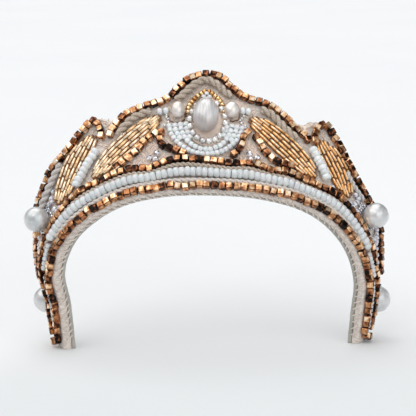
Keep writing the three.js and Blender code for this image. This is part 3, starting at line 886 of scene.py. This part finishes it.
# %% Strings of white beads
def white_row(name, bead, line, pitch, width, *nodes, tones=(0.1, 0.5)):
    """A string of white beads. tones gives how dark and how light they are; the dark default is painted
    shade.
    """
    take(line, width / 2)
    places = string_places(line, CLEARANCE + width / 2, pitch)
    stamps = [(bead, nudged(place, 0.13, 6), chance.uniform(*tones)) for place in places]
    keep(name, stamped(stamps), "white", "white", *nodes)
    print(name, "has", len(stamps), "beads")


def midway(along):
    """Half way between the lower row and the middle row."""
    return along, (LOWER_UP + height_on(middle_line, along * HALF) / CREST_HEIGHT) / 2


arch_line = flat_line([midway(0.04 * k - 0.62) for k in range(32)])
white_row("arch_row_beads", ARCH_BEAD, arch_line, 2.66, 4.4, "arch_row")
for side, marks in (("left", PANEL_LEFT), ("right", PANEL_RIGHT)):
    name, node = f"panel_row_beads_{side}", f"panel_row_{side}"
    white_row(name, PANEL_BEAD, flat_line(marks), 2.6, 4.3, node, tones=(0.4, 0.9))
for side, sign in (("left", -1), ("right", 1)):
    marks = [midway(sign * (0.634 + 0.022 * k)) for k in range(5)]
    white_row(f"arch_row_end_{side}", LEG_BEAD, flat_line(marks), 2.2, 2.9)
    marks = [midway(sign * (0.74 + 0.03 * k)) for k in range(7)]
    white_row(f"leg_row_beads_{side}", SEED_BEAD, flat_line(marks), 1.95, 2.25)

# %% [markdown]
# ## Leaves of tube beads
#
# Silver-lined tube beads lie side by side in each leaf. The rows run from its tip to its low end
# and end where the leaf's outline cuts them, and the joints of one row fall between those of the
# next, like bricks. One ribbed sheet would be quicker, but the gaps between real tubes are what
# makes the leaf glitter. Each tube has a painted highlight: the faces that turn off the face and a
# little up it are painted lighter, in a narrow cream streak along the tube.


# %% Rows of tube beads in a leaf
LEAF_SPREAD = 0.7
LEAF_WIDEN = 1.13
TUBE_PITCH = 5.9
TUBE_SHIFTS = (0.2, 1.8, 0.9)
PAINTED_STREAK_POWER = 4.5


def leaf_row(tip, low, upper, lower, row):
    """The flat line of one row, counted from the lower side, cut off where the leaf ends."""
    centre = (tip + low) / 2
    bulge = (lower - centre) + (upper - lower) * (row + 0.5) / LEAF_ROWS
    share = (2 * row + 1) / LEAF_ROWS - 1
    line = []
    for t in np.linspace(0.01, 0.99, 99):
        full = 2 * math.sqrt(t * (1 - t))
        wide = max(full, LEAF_SPREAD)
        if abs(share) * wide <= full + 0.02:
            line.append(tip + (low - tip) * t + bulge * LEAF_WIDEN * wide)
    return np.array(line)


def leaf_beads(name, *marks):
    corners = [np.array([along * HALF, up * CREST_HEIGHT]) for along, up in marks]
    stamps, threads = [], []
    # painted highlight: faces turned off the face and a little up it get a lighter tint
    toward_light = [0.35 * face.normal.y + 0.94 * face.normal.z for face in BUGLE_BEAD.polygons]
    painted_streak = [(0.5 + 0.5 * toward) ** PAINTED_STREAK_POWER for toward in toward_light]
    for row in range(LEAF_ROWS):
        line = leaf_row(*corners, row)
        take(line, 1.1)
        points, outward = on_face(line, CLEARANCE + 0.85)
        threads.append(on_face(line, CLEARANCE + 0.55)[0])
        for place in even_places(points, outward, TUBE_PITCH, TUBE_SHIFTS[row % 3]):
            tone = chance.uniform(0.85, 1.05)
            stamps.append((BUGLE_BEAD, nudged(place, 0.07, 1.5), [tone * tint for tint in painted_streak]))
    keep(name + "_beads", stamped(stamps), "tube", "gold", name)
    keep(name + "_threads", tubes(threads, 1.2, 1), "amber_thread", "cord")
    return len(stamps)


print("tube beads:", sum(leaf_beads(name, *shape) for name, shape in LEAVES.items()))

# %% [markdown]
# ## Cord and piping
#
# Twisted cord is sewn down just inside the outline, and another length of it lies between the
# white arch row and the copper row above. A twisted cord is two strands that wind round one
# another, so each strand is a line that circles the cord's own line. A picture of twists on one
# plain tube would look flat at its rim. A thinner pale cord lies under the white row as a piping.
# All of it is stitched down from end to end, so none of it hangs free.


# %% Strands that wind round one another
def wound(line, lift, width, pitch, plies=2, step=0.35):
    """The lines of strands that wind round one another along a flat line."""
    points, outward = on_face(line, lift)
    places = even_places(points, outward, step)
    strands = [[] for ply in range(plies)]
    for k, place in enumerate(places):
        for ply in range(plies):
            angle = 2 * math.pi * (k * step / pitch + ply / plies)
            reach = width / 4 * MM
            strands[ply].append(place @ Vector((0, math.cos(angle) * reach, math.sin(angle) * reach)))
    return strands


# %% Cords beside the outline, the cord over the arch row and the piping
TWIST = 2.1
PLY_FULLNESS = 1.08
CORD = 3.6
NARROW_CORD = 2.4


def cord_piece(name, row, start, end, width, finish):
    """A cord that lies inside an outline row, between two shares along, touching its beads."""
    line = between(beside(row, -(CUBE + width) / 2 - CLEARANCE), start, end)
    take(line, width / 2)
    strands = wound(line, CLEARANCE + width / 2, width, TWIST * width)
    keep(name + "_strands", tubes(strands, width / 2 * PLY_FULLNESS), finish, "cord", name)


cord_rows = [
    ("crest_cord_left", crest_line, -0.3, -0.19, CORD, "cord"),
    ("crest_cord_centre", crest_line, -0.115, 0.065, CORD, "cord"),
    ("crest_cord_right", crest_line, 0.15, 0.272, CORD, "cord"),
    ("ear_cord_left", ear_line_left[::-1], -0.62, -0.47, CORD, "grey_cord"),
    ("ear_cord_right", ear_line_right, 0.43, 0.52, NARROW_CORD, "grey_cord"),
]
for cord in cord_rows:
    cord_piece(*cord)

UNDER_COPPER = 3.0
OVER_COPPER = 4.3
heights = [(a, height_on(middle_line, a * HALF) - UNDER_COPPER) for a in np.linspace(-0.66, 0.66, 41)]
over_arch = flat_line([(a, height / CREST_HEIGHT) for a, height in heights])
arch_cord = wound(over_arch, lift=1.9, width=2.2, pitch=4.6)
keep("arch_cord_strands", tubes(arch_cord, 1.25), "cord", "cord")
under_arch = flat_line([(a, OVER_COPPER / CREST_HEIGHT) for a in np.linspace(-0.6, 0.6, 31)])
piping = wound(under_arch, lift=1.7, width=2.0, pitch=5.5)
keep("arch_piping", tubes(piping, 1.6), "pale_cord", "cord")
print("cords sewn down:", len(cord_rows) + 2)

# %% [markdown]
# ## Medallion
#
# The centre pearl sits on a pad of peach thread inside a ring of small silver-white beads. Small
# gold beads climb both sides to a point above it, and a fine copper wire follows the outside of
# the ring and loops under the two small pearls. Everything could be placed along the edge and up
# the face, as the rows are, but here it is placed in millimetres from the middle of the pearl, as
# an embroiderer would measure it.


# %% Places on the medallion
RING_X, RING_Y = 1.0, -0.5
RING_WIDTH, RING_HEIGHT = 8.2, 11.4
DRAW_IN = 0.32


def flat_medallion(x, y):
    """A place on the medallion as flat millimetres along the edge and up the face."""
    along, up = MEDALLION[0], MEDALLION[1] * CREST_HEIGHT + y
    step = 0.01
    span = (face_raw(along + step, up, 0)[0] - face_raw(along - step, up, 0)[0]).length
    return (along + x * 2 * step / span) * HALF, up


def on_medallion(x, y, lift, turn=0.0):
    flat_x, up = flat_medallion(x, y)
    take([(flat_x, up)], 0.8)
    return place_at(flat_x / HALF, up / CREST_HEIGHT, lift, turn)


def ring_line(grow, start, end, count):
    """Points of the bead ring, round below and drawn in above, from one angle to another."""
    line = []
    for degrees in np.linspace(start, end, count):
        c, s = math.cos(math.radians(degrees)), math.sin(math.radians(degrees))
        narrow = 1 - DRAW_IN * max(s, 0) ** 2
        line.append((RING_X + (RING_WIDTH + grow) * c * narrow, RING_Y + (RING_HEIGHT + grow) * s))
    return line


# %% Pad under the pearl
PAD_STEPS = ((0.93, 0.55), (0.8, 0.35), (0.62, 0.2))


def pad_mesh():
    """A low dome of thread under the pearl and its ring of beads."""
    bm = bmesh.new()
    bmesh.ops.create_circle(bm, cap_ends=True, segments=48, radius=1)
    outer = bm.faces[:]
    for scale, rise in PAD_STEPS:
        made = bmesh.ops.extrude_face_region(bm, geom=outer)
        verts = [item for item in made["geom"] if isinstance(item, bmesh.types.BMVert)]
        outer = [item for item in made["geom"] if isinstance(item, bmesh.types.BMFace)]
        reach = max(math.hypot(v.co.x, v.co.y) for v in verts)
        bmesh.ops.scale(bm, verts=verts, vec=(scale / reach, scale / reach, 1))
        bmesh.ops.translate(bm, verts=verts, vec=(0, 0, rise))
    for v in bm.verts:
        upper = max(v.co.y, 0)
        x = RING_X + v.co.x * 9.4 * (1 - 0.45 * upper**1.5)
        y = -0.6 + v.co.y * (12.6 if v.co.y < 0 else 16.5)
        v.co = on_medallion(x, y, 0.15 + v.co.z).translation
    return template(bm)


keep("medallion_pad", pad_mesh(), "peach", "cord", "medallion_bezel")

# %% Beads of the medallion: places in millimetres, and the slope of each gold bead
ring = ring_line(0, 118, 412, 16)
stamps = []
for x, y in ring:
    place = on_medallion(x, y, 2.1, math.atan2(y - RING_Y, x - RING_X))
    stamps.append((SILVER_BEAD, nudged(place, 0.12, 8), chance.random()))
keep("medallion_silver_beads", stamped(stamps), "pale_silver", "silver")
gold_left = [
    (-7.9, 4.2, 1.6), (-7.8, 6.1, 1.5), (-7.2, 7.9, 1.2), (-6.3, 9.7, 1.1), (-5.2, 11.3, 0.9),
    (-3.8, 12.8, 0.8), (-2.3, 14.1, 0.7), (-0.8, 15.2, 0.6),
]
gold_right = [
    (1.4, 15.3, -0.6), (2.9, 14.2, -0.7), (4.4, 13.0, -0.8), (5.8, 11.5, -0.9), (6.9, 9.9, -1.1),
    (7.8, 8.1, -1.3), (8.3, 6.3, -1.4), (8.5, 4.4, -1.6),
]
stamps = []
for row in (gold_left, gold_right):
    for x, y, slope in row:
        place = on_medallion(x, y, 1.6, slope)
        stamps.append((GOLD_BEAD, nudged(place, 0.1, 6), chance.random()))
keep("medallion_gold_beads", stamped(stamps), "gold", "gold")
tops = [(0.3, 14.0, 1.5), (-1.1, 12.2, 0.6), (1.6, 12.2, 2.4), (0.3, 11.0, 1.5)]
stamps = [(SEED_BEAD, on_medallion(x, y, 1.7, turn), 0.7) for x, y, turn in tops]
keep("medallion_top_beads", stamped(stamps), "white", "white")
print("silver beads round the pearl:", len(ring))


# %% Threads and wire
def medallion_line(spots, lift):
    """A smooth line through places on the medallion."""
    marks = [flat_medallion(x, y) for x, y in spots]
    flat = flat_line([(x / HALF, y / CREST_HEIGHT) for x, y in marks], 6)
    return on_face(flat, lift)[0]


threads = []
for grow in (-2.2, -1.5, 1.1, 1.7):
    threads.append(medallion_line(ring_line(grow, 170, 395, 24), 1.15 - 0.1 * abs(grow)))
for x, y in ring_line(0, 130, 397, 17):
    reach = math.hypot(x - RING_X, y - RING_Y)
    for share in (-0.06, 0.06):
        tilt = math.atan2(y - RING_Y, x - RING_X) + share
        c, s = math.cos(tilt), math.sin(tilt)
        spots = [(RING_X + (reach + d) * c, RING_Y + (reach + d) * s) for d in (-1.6, 0, 1.6)]
        threads.append(medallion_line(spots, 1.35))
keep("medallion_threads", tubes(threads, 0.5, 1), "peach", "cord")
point = [
    (-8.6, -1), (-9.2, 4), (-8.2, 8.8), (-5.0, 13.4), (0.2, 16.9), (5.3, 13.5), (8.9, 8.8),
    (9.8, 4), (10.1, -1),
]
loops = [
    [(-16.0, 3.4), (-15.2, 0.6), (-12.4, -0.5), (-9.6, 0.6), (-8.4, 3.0)],
    [(15.6, 4.2), (14.8, 1.2), (12.2, 0.2), (10.0, 1.2), (9.2, 3.4)],
]
wires = [medallion_line(point, 0.5), *(medallion_line(loop, 0.5) for loop in loops)]
keep("medallion_wire", tubes(wires, 0.5, 1), "copper_wire", "copper")
print("threads on the pad:", len(threads), "and wires:", len(wires))

# %% [markdown]
# ## Pearls
#
# The centre pearl is a freshwater one, a little uneven, with fine streaks down its length. The
# small ones beside it are near round. Two larger ones stand on each leg, one on the face in a ring
# of tiny silver beads and one on the band's back edge. Each keeps the place of its solid. A ball
# whose radius wavers with noise is enough for the shape, and the finish draws the streaks.


# %% Pearls in the places of their solids
def pearl(name, node, size, waver, finish, turned=None):
    low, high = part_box(node)
    place = Matrix.Translation((low + high) / 2)
    if turned:
        place = place @ turned.to_3x3().to_4x4()
    mesh = pearl_mesh(size, waver, chance.uniform(0, 40))
    mesh.transform(place)
    return keep(name, mesh, finish, "pearl", node)


ROUND_BEAD_SCALE = 1.12
middle_place = place_at(*MEDALLION, 0)
pearl("centre_pearl_nacre", "centre_pearl", CENTRE_PEARL, 0.035, "baroque", middle_place)
for side in ("left", "right"):
    pearl(f"small_pearl_nacre_{side}", f"small_pearl_{side}", SMALL_PEARL, 0.04, "cream", middle_place)
    for level in ("upper", "lower"):
        node = f"side_pearl_{level}_{side}"
        size = SIDE_PEARL if level == "upper" else BACK_PEARL
        pearl(f"side_pearl_nacre_{level}_{side}", node, [size] * 3, 0.012, "pearl")
for side in ("left", "right"):
    nodes = [f"round_bead_{side}_{count}" for count in (1, 2)]
    stamps = []
    for node in nodes:
        low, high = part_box(node)
        place = middle_place.to_3x3().to_4x4() @ Matrix.Rotation(chance.uniform(-0.2, 0.2), 4, "Z")
        place = place @ Matrix.Scale(ROUND_BEAD_SCALE, 4)
        place.translation = (low + high) / 2
        stamps.append((LEG_BEAD, place, 0.8))
    keep(f"round_beads_{side}", stamped(stamps), "white", "white", *nodes)
print("pearls: 7, the largest", BACK_PEARL, "mm wide")

# %% [markdown]
# ## Fields of small beads
#
# A half disc of white seed beads in four rows hangs under the medallion. On each leg the space
# between leaf, cord and pearl is filled with seed beads in no strict order. A field is filled by
# trying places and keeping those that are clear of all that is there already, as the embroiderer
# does by eye.


# %% The half disc
def clear_of(x, y, radius, spots=None):
    """True where a round of that radius touches nothing that has been placed."""
    spots = np.array(taken) if spots is None else spots
    return bool(np.all(np.hypot(spots[:, 0] - x, spots[:, 1] - y) > radius + spots[:, 2]))


DISC_ROWS = 4
DISC_X, DISC_Y = 0.6, -1.0
DISC_WIDTH, DISC_DEPTH = 16.3, 17.4
WIDTH_STEP, DEPTH_STEP = 2.35, 1.25
SEARCH_STEP = 0.35
BEAD_APART = 2.2
stamps, placed = [], []
for row in range(DISC_ROWS):
    width, depth = DISC_WIDTH - WIDTH_STEP * row, DISC_DEPTH - DEPTH_STEP * row
    count = round(math.pi * (width + depth) / 2 / SEARCH_STEP)
    for k in range(count + 1):
        angle = math.pi * (1.03 + 0.94 * k / count)
        x, y = DISC_X + width * math.cos(angle), DISC_Y + depth * math.sin(angle)
        if all((x - a) ** 2 + (y - b) ** 2 > BEAD_APART**2 for a, b in placed):
            placed.append((x, y))
            place = on_medallion(x, y, CLEARANCE + 1.1, angle + math.pi / 2)
            # the half disc takes the light end of the white tints, as painted light against the arch
            # row's painted shade
            stamps.append((SCALLOP_BEAD, nudged(place, 0.1, 12), chance.uniform(0.6, 1)))
keep("scallop_beads", stamped(stamps), "white", "white", "scallop")
print("seed beads in the half disc:", len(stamps))


# %% Crystals in the corners and on the legs
MORE_CRYSTALS = [(-0.187, 0.268), (0.133, 0.266), (-0.181, 0.32), (0.128, 0.313)]
KEEP_CLEAR = [
    (-0.208, 0.292), (-0.182, 0.322), (0.127, 0.314), (0.154, 0.289), (-0.552, 0.28), (0.495, 0.26),
]
stamps = []
crystal_nodes = ["crystal_left_1", "crystal_left_2", "crystal_right_1", "crystal_right_2"]
crystal_nodes += ["crystal_leg_left", "crystal_leg_right"]
for node in crystal_nodes:
    low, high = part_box(node)
    place = Matrix.Translation((low + high) / 2) @ Matrix.Rotation(chance.uniform(0, 3), 4, "Y")
    stamps.append((CRYSTAL, place, 0.6))
for along, up in MORE_CRYSTALS:
    stamps.append((CRYSTAL, place_at(along, up, CLEARANCE + 1.25, chance.uniform(0, 3)), 0.6))
for along, up in KEEP_CLEAR:
    take([(along * HALF, up * CREST_HEIGHT)], 1.2)
keep("crystal_stones", stamped(stamps, 0.6), "crystal", "silver", *crystal_nodes)
print("crystals:", len(stamps))


# %% Tiny silver beads round the upper pearls
# the first ring is whole, and the two outer ones are short arcs on the side toward the centre
RINGS = [(5.1, range(0, 360, 16)), (6.4, range(-60, 70, 13)), (7.5, range(-40, 50, 12))]
WHOLE_RING = RINGS[0][0]


def silver_rings(along, up, way):
    """Beads in rings round a place. way is 1 where the centre of the band is to the right."""
    middle = place_at(along, up, CLEARANCE + 0.7)
    stamps = []
    for radius, turns in RINGS:
        for turn in turns:
            across, rise = radius * math.cos(math.radians(turn)), radius * math.sin(math.radians(turn))
            beside_pearl = (along * HALF + way * across, up * CREST_HEIGHT + rise)
            if radius > WHOLE_RING and not clear_of(*beside_pearl, 0.5):
                continue
            angle = math.radians(turn) if way > 0 else math.pi - math.radians(turn)
            offset = Matrix.Translation((radius * math.cos(angle) * MM, radius * math.sin(angle) * MM, 0))
            place = middle @ offset @ Matrix.Rotation(angle + math.pi / 2, 4, "Z")
            stamps.append((TINY_BEAD, nudged(place, 0.12, 15), chance.random()))
    return stamps


for side, along, up, way in (("left", -0.602, 0.31, 1), ("right", 0.56, 0.283, -1)):
    beads = stamped(silver_rings(along, up, way))
    keep(f"pearl_ring_beads_{side}", beads, "silver", "silver", f"pearl_ring_{side}")
    take([(along * HALF, up * CREST_HEIGHT)], 6.2)


# %% Seed beads on the legs and tiny beads by the half disc
def fill(name, bead, finish, radius, start, end, low_line, high_line, gaps, tries):
    """Fills the face between two flat lines with beads that keep clear of everything else."""
    stamps = []
    for _ in range(tries):
        x = chance.uniform(start, end) * HALF
        low, high = height_on(low_line, x) + gaps[0], height_on(high_line, x) - gaps[1]
        if low >= high:
            continue
        y = chance.uniform(low, high)
        if clear_of(x, y, radius):
            taken.append((x, y, radius))
            place = place_at(x / HALF, y / CREST_HEIGHT, CLEARANCE + radius, chance.uniform(0, 3.1))
            stamps.append((bead, nudged(place, 0.05, 20), chance.random()))
    if stamps:
        slot = "silver" if "silver" in finish else "white"
        keep(name, stamped(stamps), finish, slot)
    print(name, "has", len(stamps), "beads")


LEG_TRIES = 5000
CORNER_TRIES = 90
SEED_ROOM = 0.86
TINY_ROOM = 0.6
from_rows = (2.1, 2.1)
legs = {"left": (-0.8, -0.43, ear_line_left[::-1]), "right": (0.4, 0.78, ear_line_right)}
for side, (start, end, edge) in legs.items():
    room = (start, end, middle_line, edge, from_rows)
    fill(f"leg_seeds_{side}", SEED_BEAD, "lilac", SEED_ROOM, *room, LEG_TRIES)
corners = {"left": (-0.178, -0.14), "right": (0.085, 0.125)}
for side, (start, end) in corners.items():
    shelf = np.array([[start * HALF, 0.5 * CREST_HEIGHT], [end * HALF, 0.5 * CREST_HEIGHT]])
    top = shelf + np.array([0, 0.16 * CREST_HEIGHT])
    room = (start, end, shelf, top, (0, 0))
    fill(f"corner_silver_{side}", TINY_BEAD, "pale_silver", TINY_ROOM, *room, CORNER_TRIES)

# %% [markdown]
# ## Stitches
#
# Whip stitches bind felt to leather along both edges, about every three millimetres. Each is a
# thread that comes up through the felt and goes over the edge to the lining. A groove painted on
# the rim would vanish from the side, so each stitch is a bent tube. Fine threads also cross the
# open felt between the rows.


# %% Whip stitches over both edges
STITCH_PITCH = 3.2
STITCH_SLANT = 0.6
MID_WALL = -2.35
SEWN_IN = 1.75


def whip_stitches(line, way):
    """Stitches over an edge. way is 1 for the outline and -1 for the lower edge."""
    points, outward = on_face(line, MID_WALL)
    stamps = []
    shape = arc_stitch(width=0.7, bend=2.6, angle=math.radians(170))
    for place in even_places(points, outward, STITCH_PITCH, 1.0):
        place = place @ Matrix.Rotation(0 if way > 0 else math.pi, 4, "X")
        place = place @ Matrix.Rotation(STITCH_SLANT, 4, "Y")
        shift = Matrix.Translation((0, -SEWN_IN * MM, 0))
        stamps.append((shape, nudged(place @ shift, 0.1, 5), chance.random()))
    return stamps


start, end = FOOT_LEFT + 0.02, FOOT_RIGHT - 0.02
lower_edge = np.array([[along * HALF, 0.0] for along in np.linspace(start, end, 240)])
for edge, line, way in (("lower", lower_edge, -1), ("outline", between(outline_line, start, end), 1)):
    stitches = whip_stitches(line, way)
    keep(f"edge_stitches_{edge}", stamped(stitches), "pale_cord", "cord")
    print("stitches over the", edge, "edge:", len(stitches))


# %% Threads that cross the open felt
def crossing_threads(tries):
    """Short stitches at many slants wherever no bead or cord lies."""
    arch = [(-1.7, 0, -0.3), (-0.9, 0.1, 0.2), (0, 0.15, 0.3), (0.9, 0.1, 0.2), (1.7, 0, -0.3)]
    shape = tubes([np.array(arch) * MM], 0.5, 1)
    stamps, spots = [], np.array(taken)
    for _ in range(tries):
        x = chance.uniform(-0.78, 0.74) * HALF
        y = chance.uniform(1.5, max(height_on(outline_line, x) - 1.2, 2))
        if clear_of(x, y, 0.4, spots):
            slant = chance.choice((0.9, 2.3)) + chance.uniform(-0.4, 0.4)
            place = place_at(x / HALF, y / CREST_HEIGHT, 0.05, slant)
            stamps.append((shape, nudged(place, 0.05, 5), chance.random()))
    return stamps


CROSSING_TRIES = 5200
crossing = crossing_threads(CROSSING_TRIES)
keep("crossing_threads", stamped(crossing), "peach", "cord")
print("threads over the open felt:", len(crossing))

# %% [markdown]
# ## Floor, light and camera
#
# The photograph was taken on a pale table under soft daylight, from a little above the band. A
# wide matte floor fills the view. Metal shows what it mirrors, and an even sky would leave it
# flat, so the sky has soft bright and dark patches, as a room with windows has. A very broad sun
# high on the left is the main light, two weaker ones keep the shadows open, and two narrow faint
# ones put sparks on the metal.


# %% Floor
def make_floor():
    bm = bmesh.new()
    bmesh.ops.create_circle(bm, cap_ends=True, segments=96, radius=6)
    floor = add_object("floor", mesh_of(bm, "floor"))
    paper = Finish("paper", Roughness=0.9)
    grain = paper.ramp(paper.noise(3), [(0.3, (0.86, 0.875, 0.89)), (0.7, (0.88, 0.89, 0.9))])
    # painted shadow: the paper is painted darker towards the camera, for the soft shade in front of the
    # band
    front = paper.fade("Y", 0.03, -0.1, 0.0, 1.0)
    colour = paper.mix(front, grain, (0.755, 0.78, 0.79, 1))
    floor.data.materials.append(paper.wear(Base_Color=colour))
    floor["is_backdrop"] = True
    return floor


print("the floor has", len(make_floor().data.polygons), "face")

# %% World
world = bpy.data.worlds.new("soft_daylight")
world.use_nodes = True
nodes, links = world.node_tree.nodes, world.node_tree.links
sky = nodes["Background"]
sky.inputs["Strength"].default_value = 0.46
room = nodes.new("ShaderNodeTexNoise")
room.inputs["Scale"].default_value = 2.6
room.inputs["Detail"].default_value = 1.0
tones = nodes.new("ShaderNodeValToRGB")
for stop, spot, colour in ((0, 0.42, (0.16, 0.15, 0.15, 1)), (1, 0.56, (1.65, 1.7, 1.75, 1))):
    tones.color_ramp.elements[stop].position = spot
    tones.color_ramp.elements[stop].color = colour
links.new(nodes.new("ShaderNodeTexCoord").outputs["Generated"], room.inputs["Vector"])
links.new(room.outputs["Fac"], tones.inputs["Fac"])
links.new(tones.outputs["Color"], sky.inputs["Color"])
bpy.context.scene.world = world
bpy.context.scene.view_settings.view_transform = "Standard"
print("the sky's strength is", sky.inputs["Strength"].default_value)


# %% Lamps
def soft_sun(name, source, strength, spread, colour):
    """Even light from a broad soft source that stands in one direction."""
    data = bpy.data.lights.new(name, "SUN")
    data.energy, data.angle, data.color = strength, math.radians(spread), colour
    lamp = add_object(name, data)
    lamp.rotation_euler = Vector(source).to_track_quat("Z", "Y").to_euler()


# name, where the light comes from, strength, spread in degrees and colour
lamps = [
    ("window", (-0.38, 0.0, 1.0), 1.5, 75, (1.0, 0.985, 0.965)),
    ("fill", (0.5, -0.8, 0.5), 0.6, 60, (0.96, 0.98, 1.0)),
    ("top", (0.1, 0.5, 1.0), 0.35, 40, (1.0, 1.0, 1.0)),
    ("spark", (-0.35, -0.75, 0.8), 0.1, 6, (1.0, 0.99, 0.97)),
    ("spark_right", (0.5, -0.8, 0.5), 0.08, 6, (1.0, 0.99, 0.97)),
]
for lamp in lamps:
    soft_sun(*lamp)
print("lamps:", ", ".join(lamp[0] for lamp in lamps))

# %% Camera
# The lens, distance and height come from fitting the arch's shape in the photograph. The photograph
# is turned by a degree, and its middle lies a little off the lens's axis.
IMAGE_SIZE = 416
FOCAL_PIXELS = 1348
AXIS_PIXEL = (210.5, 217)
DISTANCE = 0.62
ELEVATION = math.radians(12)
ROLL = math.radians(1.1)
TARGET_HEIGHT = 62
target = HOME + TILT @ Vector((0, 0, TARGET_HEIGHT)) * MM
back = TILT @ Vector((0, -math.cos(ELEVATION), math.sin(ELEVATION)))
lens = bpy.data.cameras.new("camera")
lens.sensor_width = 36
lens.lens = FOCAL_PIXELS / IMAGE_SIZE * lens.sensor_width
lens.shift_x = (IMAGE_SIZE / 2 - AXIS_PIXEL[0]) / IMAGE_SIZE
lens.shift_y = (AXIS_PIXEL[1] - IMAGE_SIZE / 2) / IMAGE_SIZE
lens.clip_start = 0.01
camera = add_object("camera", lens)
level = Vector((0, math.sin(ELEVATION), math.cos(ELEVATION)))
right = TILT @ (Vector((1, 0, 0)) * math.cos(ROLL) + level * math.sin(ROLL))
upward = back.cross(right)
camera.matrix_world = Matrix((right, upward, back)).transposed().to_4x4()
camera.location = target + back * DISTANCE
bpy.context.scene.camera = camera
print("the lens is", round(lens.lens, 1), "mm and stands at", [round(v, 3) for v in camera.location])

# %% Measure and finish
dressed_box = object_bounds()
(cad_low, cad_high), (low, high) = cad_box, dressed_box
growth = [round(max(cad_low[i] - low[i], high[i] - cad_high[i]) / MM, 2) for i in range(3)]
print("the dressed part reaches past its solids by", growth, "mm")
